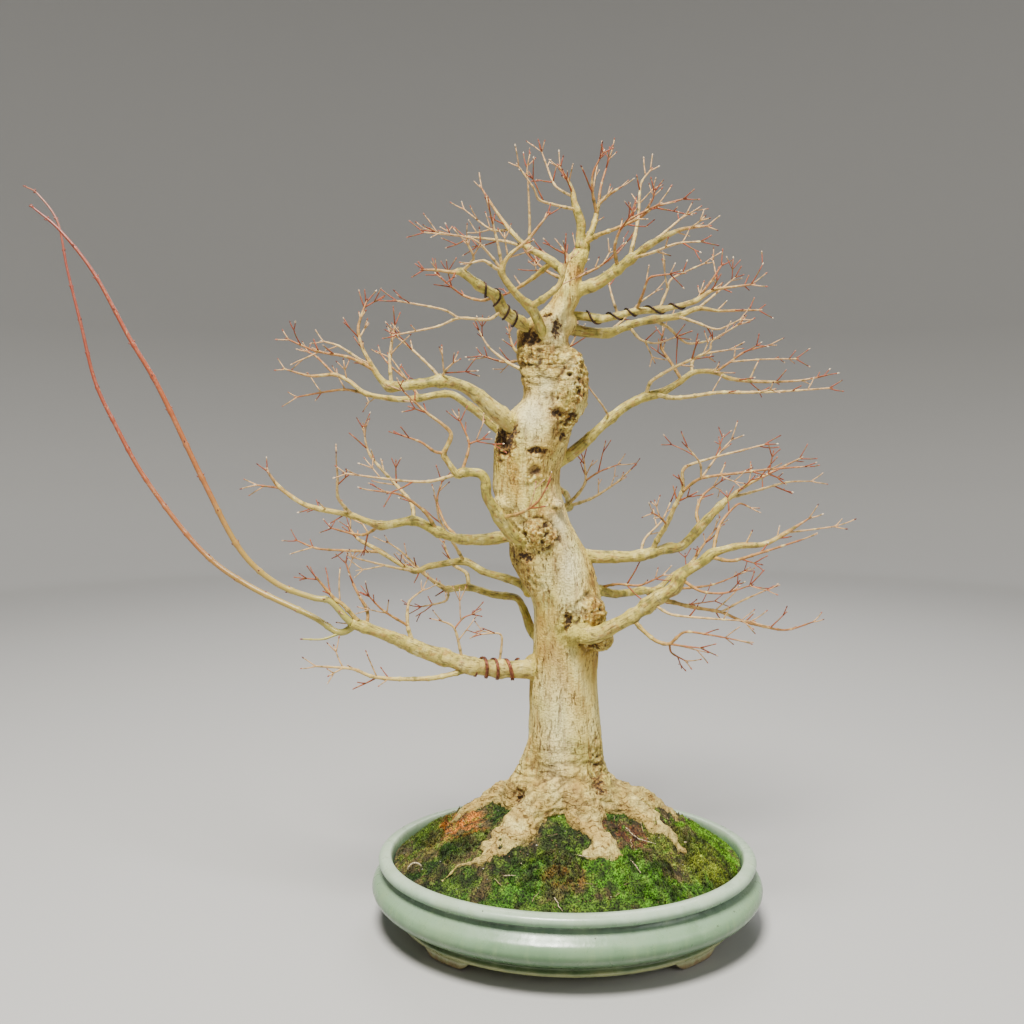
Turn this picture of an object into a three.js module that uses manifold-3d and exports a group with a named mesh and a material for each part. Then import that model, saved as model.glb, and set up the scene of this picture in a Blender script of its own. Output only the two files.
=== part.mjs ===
// A maple bonsai in an oval glazed pot. Millimetres, +Z up, the front of the tree faces -Y.
import * as THREE from "three";
import { mergeVertices } from "three/addons/utils/BufferGeometryUtils.js";
import Module from "manifold-3d";

const wasm = await Module();
wasm.setup();
const { Manifold, Mesh } = wasm;

// ---- driving sizes ----
const POT_LENGTH = 416;
const POT_WIDTH = 330;
const POT_HEIGHT = 80;
const FOOT_HEIGHT = 10;
const FOOT_LENGTH = 58;
const FOOT_DEPTH = 26;
const FOOT_ACROSS = 252;
const POT_FLOOR = 9;
const POT_WALL = 8;
const BASE_INSET = 31;
const NECK_INSET = 15;
const LIP_WIDTH = 14;
const DRAIN_HOLE_RADIUS = 13;
const DRAIN_HOLE_SPACING = 130;
const SOIL_BELOW_RIM = 9;
const SOIL_RISE = 60;
const MOSS_EDGE = 1.6;
const TREE_HEIGHT = 693;
const TREE_SINK = 12;
const TREE_BEHIND_MIDDLE = 10;
const ROOT_DEPTH = 34;
const WIRE_RADIUS = 1.1;
const GAP = 0.35;
const MOSS_CLEARANCE = 1;
const SCREEN_SIZE = 38;
const SCREEN_THICKNESS = 1.6;
const SCREEN_WINDOWS = 3;
const SCREEN_EDGE = 0.6;
const SCREEN_OPEN_SHARE = 0.72;
const FOOT_CORNER_SHARE = 0.3;
const FOOT_OVERLAP = 2;
const FOOT_INSET = 3;

// ---- sizes worked out from them ----
const POT_SEGMENTS = 36;
const DRAWN_TREE_HEIGHT = 693;
const TREE_SCALE = TREE_HEIGHT / DRAWN_TREE_HEIGHT;
const FLOOR_Z = FOOT_HEIGHT + POT_FLOOR;
const SOIL_EDGE_Z = POT_HEIGHT - SOIL_BELOW_RIM;
const TREE_Z = SOIL_EDGE_Z + SOIL_RISE - TREE_SINK;

// The pot's outside from the floor up to the lip: how far it stands in from the widest oval, and its
// height as a share of the wall above the feet. It has a bead at the base, a full belly, a narrow neck
// and a rolled lip.
const LIP_INSET = NECK_INSET - 8;
const OUTSIDE_PROFILE = [
  [BASE_INSET + 2, 0], [BASE_INSET - 2, 0.02], [BASE_INSET - 3, 0.07], [BASE_INSET, 0.12],
  [22, 0.2], [8, 0.33], [1.5, 0.44], [0, 0.53], [2.5, 0.63], [9, 0.71],
  [NECK_INSET - 1, 0.77], [NECK_INSET, 0.82], [LIP_INSET + 2, 0.86], [LIP_INSET, 0.93],
  [LIP_INSET + 2, 0.98], [LIP_INSET + 5, 1],
];
// The inside wall, from the lip down to where the soil starts.
const INSIDE_INSET = NECK_INSET + POT_WALL;
const INSIDE_PROFILE = [
  [LIP_INSET + LIP_WIDTH - 1.5, 1], [LIP_INSET + LIP_WIDTH, 0.96], [INSIDE_INSET, 0.82],
];
// The inside floor, and the slope between it and the wall.
const FLOOR_SLOPE_WIDTH = 9;
const FLOOR_SLOPE_HEIGHT = 4;
const FLOOR_INSET = BASE_INSET + POT_WALL + 3;

const COLOURS = {
  glaze: [0.42, 0.62, 0.5],
  bark: [0.72, 0.64, 0.48],
  limb: [0.66, 0.6, 0.42],
  shoot: [0.66, 0.3, 0.16],
  soil: [0.2, 0.13, 0.08],
  moss: [0.2, 0.32, 0.06],
  copper: [0.3, 0.16, 0.1],
  screen: [0.03, 0.03, 0.03],
};

// The stock below ground: centre in X and Y, and half the width across and front to back.
const ROOT_STOCK = [-6, 0, 46, 40];
// The trunk's sections, bottom to top: height above the tree's base line, centre in X and Y, and half
// the width across and front to back.
const TRUNK_SECTIONS = [
  [10, -6, 0, 52, 46], [44, -5, 0, 47, 42], [65, -2, 0, 41, 38], [107, -3, 0, 37, 35],
  [139, -4, 0, 35.5, 34], [170, -2, 0, 34.5, 34], [222, 0, -2, 36, 36], [246, -8, -2, 40, 36],
  [273, -19, -2, 42, 37], [293, -25, -2, 38, 36], [314, -32, -2, 34, 34], [344, -43, -2, 34.5, 33],
  [364, -44, -2, 34, 33], [384, -41, -2, 37, 34], [404, -37, -3, 39, 35], [424, -28, -3, 38, 34],
  [443, -16, -4, 32, 31], [464, -17, -4, 34, 31], [484, -24, -4, 30, 28], [503, -27, -4, 26, 25],
  [517, -26, -4, 24, 22], [541, -5, -5, 15.5, 15], [565, 1.5, -5, 11.5, 11.5], [589, 9, -5, 10, 10],
];
// Burls and branch collars: centre above the tree's base line, and half sizes in X, Y and Z.
const BURLS = [
  { at: [17, -22, 220], half: [23, 20, 22] },
  { at: [32, -26, 194], half: [15, 16, 14] },
  { at: [-29, -26, 299], half: [20, 17, 20] },
  { at: [-12, -23, 332], half: [7, 8, 7] },
  { at: [-5, -12, 455], half: [26, 24, 42] },
  { at: [-60, -12, 401], half: [17, 18, 24] },
  { at: [-66, -18, 333], half: [12, 12, 12] },
  { at: [-8, -2, 520], half: [18, 15, 16] },
  { at: [-34, -2, 157], half: [13, 13, 15] },
];
// Surface roots, from the trunk out: place as shares of the soil's half length and half width, height
// above the soil, and radius.
const ROOTS = {
  left: [[-0.1, 0.02, 22, 24], [-0.27, 0.08, 12, 18], [-0.42, 0.12, 6, 15], [-0.54, 0.11, 0, 12],
    [-0.63, 0.06, -7, 8]],
  front_left: [[-0.06, -0.14, 24, 22], [-0.2, -0.27, 9, 20], [-0.31, -0.4, 3, 18],
    [-0.4, -0.51, -2, 12], [-0.52, -0.55, -3, 6], [-0.66, -0.58, -7, 4]],
  front: [[0.04, -0.16, 22, 21], [0.09, -0.29, 7, 20], [0.13, -0.42, 1, 14], [0.17, -0.54, 0, 15],
    [0.16, -0.66, -9, 8]],
  front_toe: [[0.14, -0.46, -1, 11], [0.23, -0.58, -4, 7], [0.29, -0.66, -8, 4]],
  right_front: [[0.12, -0.06, 22, 22], [0.28, -0.1, 9, 20], [0.42, -0.16, 2, 16], [0.54, -0.28, -2, 9],
    [0.66, -0.37, -7, 5]],
  right: [[0.12, 0.04, 20, 23], [0.3, 0.12, 6, 17], [0.45, 0.14, 5, 15], [0.59, 0.12, 0, 11],
    [0.72, 0.06, -7, 7]],
  back_right: [[0.08, 0.12, 20, 20], [0.24, 0.3, 5, 17], [0.38, 0.47, -1, 13], [0.5, 0.58, -8, 8]],
  back: [[0, 0.14, 20, 20], [-0.04, 0.34, 4, 17], [-0.02, 0.52, -2, 13], [0.03, 0.66, -9, 7]],
  back_left: [[-0.08, 0.12, 20, 20], [-0.24, 0.26, 5, 18], [-0.4, 0.38, -1, 14], [-0.54, 0.45, -8, 8]],
};
// Moss cushions: centre and half sizes as shares of the soil's half length and half width, thickness.
const MOSSES = {
  moss_right: { at: [0.76, -0.3], half: [0.17, 0.3], rise: 8 },
  moss_front_right: { at: [0.42, -0.7], half: [0.17, 0.16], rise: 6 },
  moss_front: { at: [-0.12, -0.74], half: [0.19, 0.14], rise: 7 },
  moss_front_left: { at: [-0.6, -0.36], half: [0.13, 0.12], rise: 6 },
  moss_left: { at: [-0.78, 0.08], half: [0.1, 0.24], rise: 5 },
  moss_back_left: { at: [-0.42, 0.68], half: [0.22, 0.14], rise: 6 },
  moss_back_right: { at: [0.36, 0.76], half: [0.2, 0.11], rise: 6 },
};

// Limbs and their side shoots, from the trunk out. Each point is X, Y, height above the tree's
// base line, and radius. A limb starts inside the trunk, and a side shoot starts inside its limb.
const LIMBS = {
  low_left_limb: {
    stem: [[-23, 0, 155, 10], [-43, -8, 157, 9.6], [-71, -15, 158, 9], [-108, -25, 166, 8.4],
     [-143, -35, 180, 7.4], [-173, -42, 194, 6.4], [-198, -48, 206, 5.8], [-221, -52, 215, 5]],
    shoots: [
      [[-215, -52, 217, 2.6], [-229, -55, 234, 2.2], [-238, -56, 241, 1.9], [-255, -60, 263, 1.1]],
      [[-206, -50, 212, 2], [-206, -45, 225, 1.7], [-220, -38, 250, 1.3], [-230, -30, 274, 0.8]],
      [[-160, -40, 191, 2.6], [-166, -36, 209, 2], [-165, -30, 232, 1.4], [-151, -24, 244, 0.8]],
      [[-166, -36, 209, 1.6], [-189, -50, 227, 1.2], [-203, -58, 244, 0.8]],
      [[-110, -25, 169, 1.8], [-118, -32, 205, 1.3], [-132, -36, 214, 0.9]],
      [[-118, -32, 205, 1.1], [-109, -26, 215, 0.9], [-99, -20, 218, 0.7]],
      [[-72, -15, 163, 1.6], [-70, -22, 196, 1.1], [-92, -28, 198, 0.8]],
      [[-102, -27, 161, 3.4], [-121, -32, 157, 3], [-143, -38, 154, 2.7], [-180, -48, 156, 2.2],
       [-202, -56, 161, 1.9], [-220, -62, 170, 1.6], [-255, -72, 175, 1]],
    ],
  },
  long_shoot_upper: {
    stem: [[-227, -54, 221, 3.6], [-242, -56, 238, 3.2], [-260, -58, 242, 3], [-296, -62, 258, 2.9],
     [-329, -66, 292, 2.8], [-361, -70, 358, 2.6], [-402, -72, 450, 2.4], [-429, -72, 498, 2.1],
     [-462, -70, 560, 1.7], [-494, -68, 601, 1.4], [-521, -66, 624, 0.9]],
    shoots: [],
  },
  long_shoot_lower: {
    stem: [[-221, -48, 210, 4], [-236, -46, 204, 3.4], [-263, -40, 219, 3.1], [-334, -28, 251, 3],
     [-385, -18, 288, 2.7], [-440, -8, 357, 2.4], [-473, -2, 415, 2.2], [-494, 2, 460, 1.9],
     [-508, 6, 518, 1.6], [-522, 10, 576, 1.3], [-532, 14, 625, 1.1], [-553, 18, 654, 0.9],
     [-566, 20, 662, 0.7]],
    shoots: [
      [[-234, -47, 203, 1.4], [-251, -52, 198, 1.1], [-270, -56, 199, 0.8]],
    ],
  },
  low_back_left_limb: {
    stem: [[-28, 16, 182, 5], [-38, 30, 192, 4.9], [-45, 40, 210, 4.7], [-54, 50, 223, 4.4],
     [-80, 66, 224, 4.1], [-108, 80, 230, 3.6], [-132, 90, 226, 3], [-144, 96, 230, 2.4],
     [-164, 104, 244, 1.6], [-180, 110, 255, 1]],
    shoots: [
      [[-108, 80, 230, 2.8], [-111, 88, 245, 2.3], [-128, 96, 255, 1.8], [-138, 106, 278, 1]],
      [[-132, 90, 226, 2], [-155, 84, 242, 1.5], [-183, 78, 270, 1.1], [-199, 76, 282, 0.8]],
      [[-132, 92, 228, 1.8], [-136, 110, 209, 1.4], [-168, 130, 198, 0.9]],
    ],
  },
  back_left_limb: {
    stem: [[-39, 10, 237, 5.2], [-51, 30, 243, 4.6], [-89, 50, 252, 4.2], [-112, 60, 262, 3.8],
     [-151, 68, 256, 3.2], [-170, 70, 250, 2.9], [-208, 84, 270, 2.4], [-235, 96, 283, 1.8],
     [-248, 104, 297, 1.1]],
    shoots: [
      [[-208, 84, 270, 2], [-241, 86, 271, 1.6], [-281, 90, 273, 1.3], [-307, 96, 282, 0.9]],
      [[-112, 60, 262, 2.4], [-121, 46, 281, 1.8], [-137, 36, 310, 1.3], [-141, 30, 332, 0.8]],
      [[-170, 70, 250, 1.8], [-193, 60, 256, 1.4], [-232, 52, 267, 0.9]],
    ],
  },
  middle_left_limb: {
    stem: [[-50, -8, 297, 6.6], [-63, -14, 299, 6.2], [-87, -20, 296, 5.6], [-112, -26, 297, 5.2],
     [-134, -31, 305, 4.8], [-159, -36, 317, 4.4], [-192, -42, 313, 3.7], [-222, -47, 324, 3],
     [-264, -53, 334, 2.4], [-291, -55, 353, 1.7], [-303, -56, 370, 1]],
    shoots: [
      [[-159, -36, 317, 2.6], [-164, -24, 337, 2], [-206, -6, 382, 1.4], [-214, 0, 412, 0.8]],
      [[-219, -46, 323, 2], [-231, -62, 342, 1.6], [-230, -70, 364, 1.3], [-230, -75, 377, 0.8]],
      [[-291, -55, 352, 1.3], [-313, -58, 355, 0.8]],
      [[-134, -31, 305, 2.2], [-148, -44, 328, 1.7], [-170, -56, 345, 1.2], [-197, -64, 350, 0.8]],
      [[-112, -26, 297, 2], [-128, -6, 310, 1.6], [-138, 8, 334, 1.2], [-133, 14, 355, 0.8]],
      [[-192, -42, 313, 2], [-214, -22, 301, 1.5], [-249, -8, 307, 0.9]],
    ],
  },
  rising_left_limb: {
    stem: [[-42, -20, 294, 6.6], [-59, -40, 303, 6], [-74, -52, 327, 5.6], [-84, -58, 344, 5.1],
     [-85, -62, 360, 4.9], [-91, -64, 367, 4.7], [-107, -67, 368, 4.2], [-113, -69, 366, 3.6],
     [-123, -74, 381, 2.6], [-125, -76, 387, 2.3], [-118, -80, 407, 1.7], [-143, -84, 428, 1.3],
     [-165, -88, 449, 0.8]],
    shoots: [
      [[-125, -76, 387, 1.8], [-134, -82, 389, 1.5], [-146, -88, 398, 1.2], [-165, -92, 405, 0.8]],
      [[-67, -50, 322, 2.2], [-49, -66, 328, 1.7], [-33, -76, 340, 1.2], [-24, -80, 356, 0.8]],
      [[-113, -69, 366, 2], [-138, -82, 360, 1.5], [-163, -92, 361, 1.2], [-217, -108, 369, 0.8]],
      [[-107, -66, 371, 1.8], [-101, -62, 396, 1.2], [-111, -60, 421, 0.8]],
      [[-101, -62, 396, 1.1], [-87, -64, 401, 0.8]],
    ],
  },
  upper_left_limb: {
    stem: [[-48, -12, 406, 9.8], [-63, -24, 418, 9.2], [-78, -34, 430, 8.2], [-90, -40, 442, 7.2],
     [-106, -44, 452, 6.2], [-130, -48, 458, 5.4], [-152, -51, 455, 4.9], [-178, -54, 452, 4.2],
     [-188, -56, 459, 3], [-194, -57, 468, 2.4], [-206, -56, 490, 1.8], [-210, -54, 510, 1.4],
     [-202, -50, 537, 0.8]],
    shoots: [
      [[-194, -57, 468, 1.8], [-217, -66, 480, 1.5], [-249, -74, 486, 1.2], [-275, -78, 497, 0.8]],
      [[-178, -54, 452, 2.2], [-180, -48, 483, 1.5], [-175, -44, 514, 0.8]],
      [[-130, -48, 460, 1.9], [-139, -40, 471, 1.5], [-158, -30, 489, 1.2], [-175, -24, 503, 0.8]],
      [[-130, -48, 460, 1.6], [-123, -58, 469, 1.2], [-115, -64, 476, 0.8]],
      [[-181, -54, 454, 2.2], [-205, -36, 475, 1.6], [-234, -22, 494, 1.2], [-253, -14, 500, 0.8]],
    ],
  },
  upper_left_back_limb: {
    stem: [[-54, 8, 400, 6], [-68, 10, 407, 5.4], [-102, 16, 433, 4.6], [-124, 21, 447, 4.1],
     [-158, 30, 443, 3.4], [-185, 38, 442, 3], [-217, 46, 448, 2.6], [-235, 50, 461, 2.2],
     [-253, 54, 469, 1.8], [-281, 60, 468, 1.4], [-311, 66, 476, 0.8]],
    shoots: [
      [[-217, 46, 448, 1.8], [-242, 58, 453, 1.5], [-270, 68, 450, 1.2], [-300, 76, 445, 0.8]],
      [[-158, 30, 443, 2], [-172, 52, 462, 1.5], [-192, 70, 478, 1.1], [-206, 80, 494, 0.8]],
      [[-253, 54, 469, 1.4], [-273, 66, 488, 1.1], [-287, 74, 496, 0.8]],
    ],
  },
  crown_left_limb: {
    stem: [[-24, -2, 507, 7], [-38, -12, 512, 6.6], [-56, -24, 521, 6], [-68, -32, 530, 5.6],
     [-74, -38, 542, 5.2], [-89, -44, 550, 4.8], [-99, -48, 558, 4.4], [-109, -50, 565, 3.6],
     [-117, -53, 564, 1.8], [-132, -58, 565, 1.3], [-146, -62, 565, 0.8]],
    shoots: [
      [[-68, -32, 530, 2], [-82, -44, 519, 1.6], [-111, -56, 519, 1.4], [-132, -64, 510, 1.1],
       [-171, -76, 501, 0.8]],
      [[-111, -56, 519, 1.3], [-127, -62, 527, 1.1], [-171, -74, 534, 0.8]],
      [[-74, -38, 542, 1.8], [-90, -24, 540, 1.5], [-111, -10, 548, 1.2], [-137, 2, 570, 0.8]],
      [[-108, -50, 565, 2], [-96, -60, 576, 1.4], [-103, -70, 591, 0.9]],
    ],
  },
  crown_front_limb: {
    stem: [[-19, -10, 496, 5.6], [-26, -22, 503, 5.2], [-33, -32, 520, 4.8], [-40, -38, 532, 4.4],
     [-52, -46, 541, 3.8], [-63, -52, 553, 3.2], [-69, -56, 565, 2.6], [-61, -60, 579, 2],
     [-43, -62, 594, 1.5], [-23, -64, 618, 0.8]],
    shoots: [
      [[-40, -38, 532, 4], [-26, -46, 540, 3.6], [-12, -48, 552, 3], [-7, -48, 568, 2.4],
       [-4, -46, 579, 1.6], [-10, -44, 590, 1]],
      [[-69, -56, 565, 2.2], [-75, -60, 567, 1.9], [-86, -66, 573, 1.5], [-99, -70, 570, 0.8]],
      [[-68, -56, 567, 1.8], [-73, -64, 592, 1.3], [-81, -70, 623, 0.8]],
      [[-68, -56, 565, 1.6], [-83, -66, 582, 1.2], [-97, -76, 592, 0.9], [-133, -86, 597, 0.7]],
    ],
  },
  crown_back_left_limb: {
    stem: [[-2, 8, 570, 4.6], [-8, 12, 577, 4.4], [-21, 18, 588, 3.8], [-41, 26, 600, 3],
     [-61, 36, 621, 2.2], [-76, 42, 642, 1.5], [-92, 46, 668, 0.8]],
    shoots: [
      [[-17, 16, 584, 3.4], [-28, 26, 576, 3], [-34, 34, 572, 2.6], [-51, 46, 562, 1.9],
       [-68, 58, 555, 1.1]],
      [[-41, 26, 600, 2.2], [-66, 42, 610, 1.6], [-104, 56, 617, 1.2], [-156, 66, 624, 0.7]],
      [[-41, 26, 601, 2], [-40, 22, 622, 1.4], [-41, 16, 647, 1.1], [-43, 10, 680, 0.7]],
      [[-61, 36, 621, 1.6], [-82, 60, 626, 1.2], [-112, 76, 651, 0.7]],
    ],
  },
  crown_leader: {
    stem: [[10, -5, 585, 6.2], [14, -4, 594, 6], [12, -5, 606, 4.4], [12, -8, 620, 3.6],
     [5, -10, 638, 2.8], [3, -10, 650, 2.2], [-1, -12, 660, 1.6], [-11, -14, 675, 0.8]],
    shoots: [
      [[7, -9, 633, 1.9], [-10, -20, 634, 1.5], [-31, -30, 638, 1.3], [-37, -36, 648, 1.1],
       [-53, -42, 669, 0.8]],
      [[4, -10, 645, 1.6], [-14, 6, 660, 1.2], [-23, 16, 684, 0.9], [-28, 20, 699, 0.7]],
      [[14, -4, 599, 4], [23, 2, 612, 3.4], [28, 8, 628, 2.8], [31, 12, 642, 2.3], [42, 16, 653, 1.8],
       [56, 18, 662, 0.9]],
      [[29, 9, 633, 1.9], [24, 0, 652, 1.5], [24, -6, 670, 1.1], [34, -10, 690, 0.7]],
      [[31, 12, 640, 1.7], [35, 26, 665, 1.2], [45, 36, 697, 0.7]],
      [[16, -6, 600, 3], [29, -18, 606, 2.4], [47, -28, 611, 1.9], [69, -36, 620, 1.5],
       [82, -40, 629, 1.2], [111, -46, 636, 0.8]],
      [[69, -36, 620, 1.2], [79, -46, 634, 0.9], [81, -50, 643, 0.7]],
    ],
  },
  crown_right_limb: {
    stem: [[-1, -2, 548, 7.6], [11, -6, 553, 6.8], [31, -12, 560, 5.8], [49, -18, 572, 5.2],
     [62, -22, 582, 4.4], [80, -26, 595, 3.2], [107, -30, 608, 2], [122, -32, 611, 1.4],
     [138, -34, 612, 0.8]],
    shoots: [
      [[60, -21, 581, 2.6], [66, -10, 603, 2], [71, -2, 627, 1.6], [74, 4, 661, 1.2], [85, 8, 677, 0.8]],
      [[62, -22, 582, 2], [79, -42, 584, 1.5], [102, -56, 591, 1.1], [126, -62, 592, 0.8]],
      [[49, -18, 572, 2.2], [44, -34, 592, 1.6], [53, -44, 613, 1.2], [86, -52, 630, 0.8]],
      [[80, -26, 596, 1.8], [97, -8, 610, 1.4], [123, 6, 633, 0.8]],
    ],
  },
  wired_right_front_limb: {
    stem: [[-14, 4, 524, 5], [0, 6, 528, 4.7], [18, 4, 527, 4.3], [34, 0, 524, 4], [51, -4, 527, 3.8],
     [69, -8, 531, 3.5], [92, -12, 532, 3.1], [110, -16, 535, 2.7], [128, -20, 540, 2.2],
     [144, -24, 550, 1.8], [164, -28, 553, 1.3], [183, -32, 555, 0.8]],
    shoots: [
      [[69, -8, 531, 1.9], [74, -24, 547, 1.4], [79, -36, 561, 1.1], [99, -48, 563, 0.8]],
      [[92, -12, 532, 1.8], [102, 2, 553, 1.4], [109, 12, 567, 1.1], [146, 26, 585, 0.8]],
      [[128, -20, 540, 1.6], [145, -6, 560, 1.2], [159, 4, 580, 0.8]],
      [[51, -4, 527, 1.7], [47, 14, 546, 1.2], [44, 24, 562, 0.8]],
    ],
  },
  wired_right_back_limb: {
    stem: [[-13, 6, 516, 6.6], [0, 14, 516, 6.2], [19, 20, 512, 5.6], [44, 26, 512, 5],
     [66, 32, 520, 4.4], [92, 38, 527, 3.8], [120, 44, 531, 3], [143, 50, 540, 2.4],
     [167, 56, 538, 1.7], [191, 60, 539, 1.2], [214, 64, 540, 0.8]],
    shoots: [
      [[92, 38, 527, 2.2], [111, 52, 520, 1.7], [134, 64, 504, 1.3], [164, 76, 509, 1],
       [199, 88, 528, 0.7]],
      [[120, 44, 531, 1.9], [138, 30, 523, 1.5], [159, 20, 515, 1.1], [182, 12, 525, 0.8]],
      [[66, 32, 520, 2], [77, 22, 505, 1.5], [93, 14, 500, 1.1], [113, 8, 506, 0.8]],
      [[44, 26, 512, 1.9], [61, 48, 527, 1.4], [82, 66, 548, 1], [101, 76, 562, 0.7]],
      [[143, 50, 540, 1.6], [163, 66, 556, 1.2], [190, 78, 578, 0.7]],
    ],
  },
  upper_right_limb: {
    stem: [[-21, 6, 370, 6.6], [-6, 10, 377, 6.2], [13, 14, 391, 5.7], [35, 19, 411, 5.3],
     [60, 24, 432, 4.9], [83, 28, 444, 4.6], [102, 31, 449, 3.8], [121, 34, 460, 3.3],
     [135, 36, 470, 2.9], [147, 38, 472, 2.6], [161, 40, 471, 2.3], [175, 43, 465, 2],
     [195, 46, 462, 1.8], [227, 50, 461, 1.5], [259, 54, 463, 1.1], [285, 58, 468, 0.8]],
    shoots: [
      [[95, 30, 447, 3], [111, 18, 443, 2.5], [129, 10, 444, 2.2], [156, 2, 448, 1.9],
       [186, -6, 448, 1.6], [223, -14, 449, 1.2], [267, -22, 452, 0.8]],
      [[85, 28, 446, 2.4], [89, 20, 460, 2], [109, 12, 473, 1.7], [128, 6, 482, 1.5],
       [147, 2, 492, 1.2], [150, 0, 502, 1], [176, -6, 518, 0.7]],
      [[124, 34, 462, 2], [115, 46, 480, 1.7], [104, 54, 499, 1.4], [107, 58, 516, 0.9]],
      [[161, 40, 471, 1.6], [180, 54, 483, 1.3], [199, 64, 495, 1.1], [229, 74, 503, 0.7]],
      [[135, 36, 470, 2], [138, 48, 484, 1.6], [154, 58, 492, 1.3], [182, 66, 497, 0.8]],
      [[180, 54, 483, 1.1], [217, 60, 486, 0.9], [256, 66, 487, 0.7]],
      [[46, 21, 421, 1.5], [36, 4, 435, 1.1], [22, -6, 452, 0.8], [14, -10, 465, 0.7]],
    ],
  },
  middle_right_limb: {
    stem: [[1, 2, 275, 7.6], [18, 4, 276, 7], [43, 6, 274, 6.4], [69, 8, 275, 6], [89, 9, 278, 5.6],
     [108, 10, 283, 5.1], [123, 11, 286, 4.7], [144, 13, 307, 4.3], [166, 15, 331, 3.4],
     [178, 17, 340, 2.4], [196, 20, 352, 1.8], [216, 22, 362, 1.4], [252, 26, 379, 0.8]],
    shoots: [
      [[90, 9, 279, 3.2], [96, 4, 294, 3], [104, -4, 310, 2.7], [111, -12, 330, 2.4],
       [118, -18, 348, 2.1], [118, -24, 370, 1.7], [146, -30, 381, 1.3], [198, -38, 395, 0.8]],
      [[118, -18, 346, 1.9], [135, -28, 360, 1.6], [173, -36, 366, 1.3], [202, -42, 370, 1.1],
       [237, -48, 373, 0.7]],
      [[135, -28, 360, 1.3], [132, -36, 376, 1.1], [117, -44, 393, 0.7]],
      [[135, -28, 360, 1.2], [153, -20, 383, 1], [169, -14, 400, 0.7]],
      [[171, 16, 336, 2], [200, 28, 342, 1.6], [240, 38, 352, 1.1], [270, 44, 353, 0.7]],
      [[142, 13, 305, 2.2], [141, 28, 320, 1.8], [150, 40, 338, 1.4], [172, 50, 353, 0.8]],
      [[104, -4, 310, 1.5], [95, -16, 319, 1.1], [86, -24, 324, 0.7]],
      [[78, 8, 276, 1.6], [85, 24, 292, 1.3], [105, 38, 310, 1], [116, 46, 331, 0.7]],
    ],
  },
  low_right_limb: {
    stem: [[3, -34, 203, 9.4], [19, -42, 200, 8.6], [33, -48, 204, 7.6], [54, -54, 217, 7],
     [76, -60, 233, 6.5], [89, -63, 243, 6.2], [103, -66, 253, 5.8], [110, -68, 267, 5.3],
     [129, -71, 279, 4.8], [140, -73, 289, 4.2], [163, -76, 296, 3.4], [187, -80, 298, 2.4],
     [208, -84, 310, 1.7], [230, -88, 325, 0.8]],
    shoots: [
      [[61, -56, 223, 2.8], [70, -64, 212, 2.4], [84, -72, 201, 2.1], [97, -78, 199, 1.8],
       [111, -84, 212, 1.4], [137, -90, 210, 1], [161, -94, 206, 0.7]],
      [[97, -78, 199, 1.4], [110, -84, 198, 1.1], [127, -88, 197, 0.7]],
      [[97, -78, 199, 1.3], [100, -74, 189, 1], [115, -72, 180, 0.7]],
      [[91, -62, 241, 2.6], [122, -50, 231, 2], [155, -42, 224, 1.8], [180, -36, 213, 1.5],
       [223, -30, 203, 1.2], [255, -26, 211, 0.8]],
      [[155, -42, 224, 1.4], [174, -50, 237, 1.1], [197, -56, 249, 0.7]],
      [[82, -61, 237, 1.8], [99, -76, 228, 1.4], [138, -88, 226, 1.1], [175, -96, 225, 0.7]],
      [[140, -73, 289, 2.2], [144, -62, 301, 1.8], [152, -52, 318, 1.4], [170, -44, 335, 1.1],
       [185, -40, 330, 0.7]],
      [[136, -72, 285, 2.2], [155, -88, 283, 1.7], [180, -98, 292, 1.4], [218, -106, 306, 0.8]],
      [[208, -84, 310, 1.2], [231, -78, 312, 0.9], [260, -72, 315, 0.7]],
      [[112, -68, 260, 1.8], [126, -88, 253, 1.4], [146, -98, 253, 1.1], [170, -106, 262, 0.7]],
    ],
  },
  low_back_right_limb: {
    stem: [[25, 14, 239, 5.4], [39, 24, 235, 4.9], [55, 34, 230, 4.4], [86, 50, 231, 3.9],
     [104, 60, 231, 3.4], [122, 72, 244, 2.8], [145, 84, 256, 2.2], [158, 94, 272, 1.5],
     [177, 104, 294, 0.8]],
    shoots: [
      [[37, 24, 239, 1.8], [55, 14, 244, 1.5], [78, 6, 244, 1.2], [102, 0, 256, 0.8]],
      [[104, 60, 231, 2.2], [132, 76, 229, 1.7], [171, 90, 231, 1.2], [208, 100, 243, 0.7]],
      [[86, 50, 231, 1.9], [109, 70, 216, 1.5], [139, 90, 208, 1.1], [179, 104, 210, 0.7]],
    ],
  },
  back_middle_limb: {
    stem: [[-22, 6, 300, 6], [-18, 34, 306, 5.6], [-6, 62, 318, 4.9], [6, 88, 322, 4],
     [4, 112, 334, 3], [-8, 134, 346, 2], [-14, 150, 362, 1]],
    shoots: [
      [[-6, 62, 318, 2.6], [14, 66, 336, 2.1], [24, 72, 352, 1.6], [22, 78, 378, 0.9]],
      [[24, 72, 352, 1.4], [40, 76, 362, 1.1], [62, 80, 370, 0.7]],
      [[6, 88, 322, 2.4], [34, 104, 330, 1.8], [62, 120, 346, 1.2], [82, 132, 362, 0.8]],
      [[4, 112, 334, 2], [-26, 118, 348, 1.5], [-48, 126, 366, 0.9]],
    ],
  },
  back_upper_limb: {
    stem: [[-26, 4, 452, 6], [-32, 30, 458, 5.6], [-38, 54, 470, 4.8], [-34, 78, 476, 3.9],
     [-42, 102, 488, 2.9], [-56, 122, 502, 1.9], [-62, 138, 520, 0.9]],
    shoots: [
      [[-38, 54, 470, 2.4], [-62, 64, 482, 1.8], [-84, 74, 500, 1.2], [-96, 80, 520, 0.8]],
      [[-34, 78, 476, 2.3], [-12, 92, 488, 1.7], [8, 106, 504, 1.2], [18, 116, 524, 0.8]],
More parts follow.
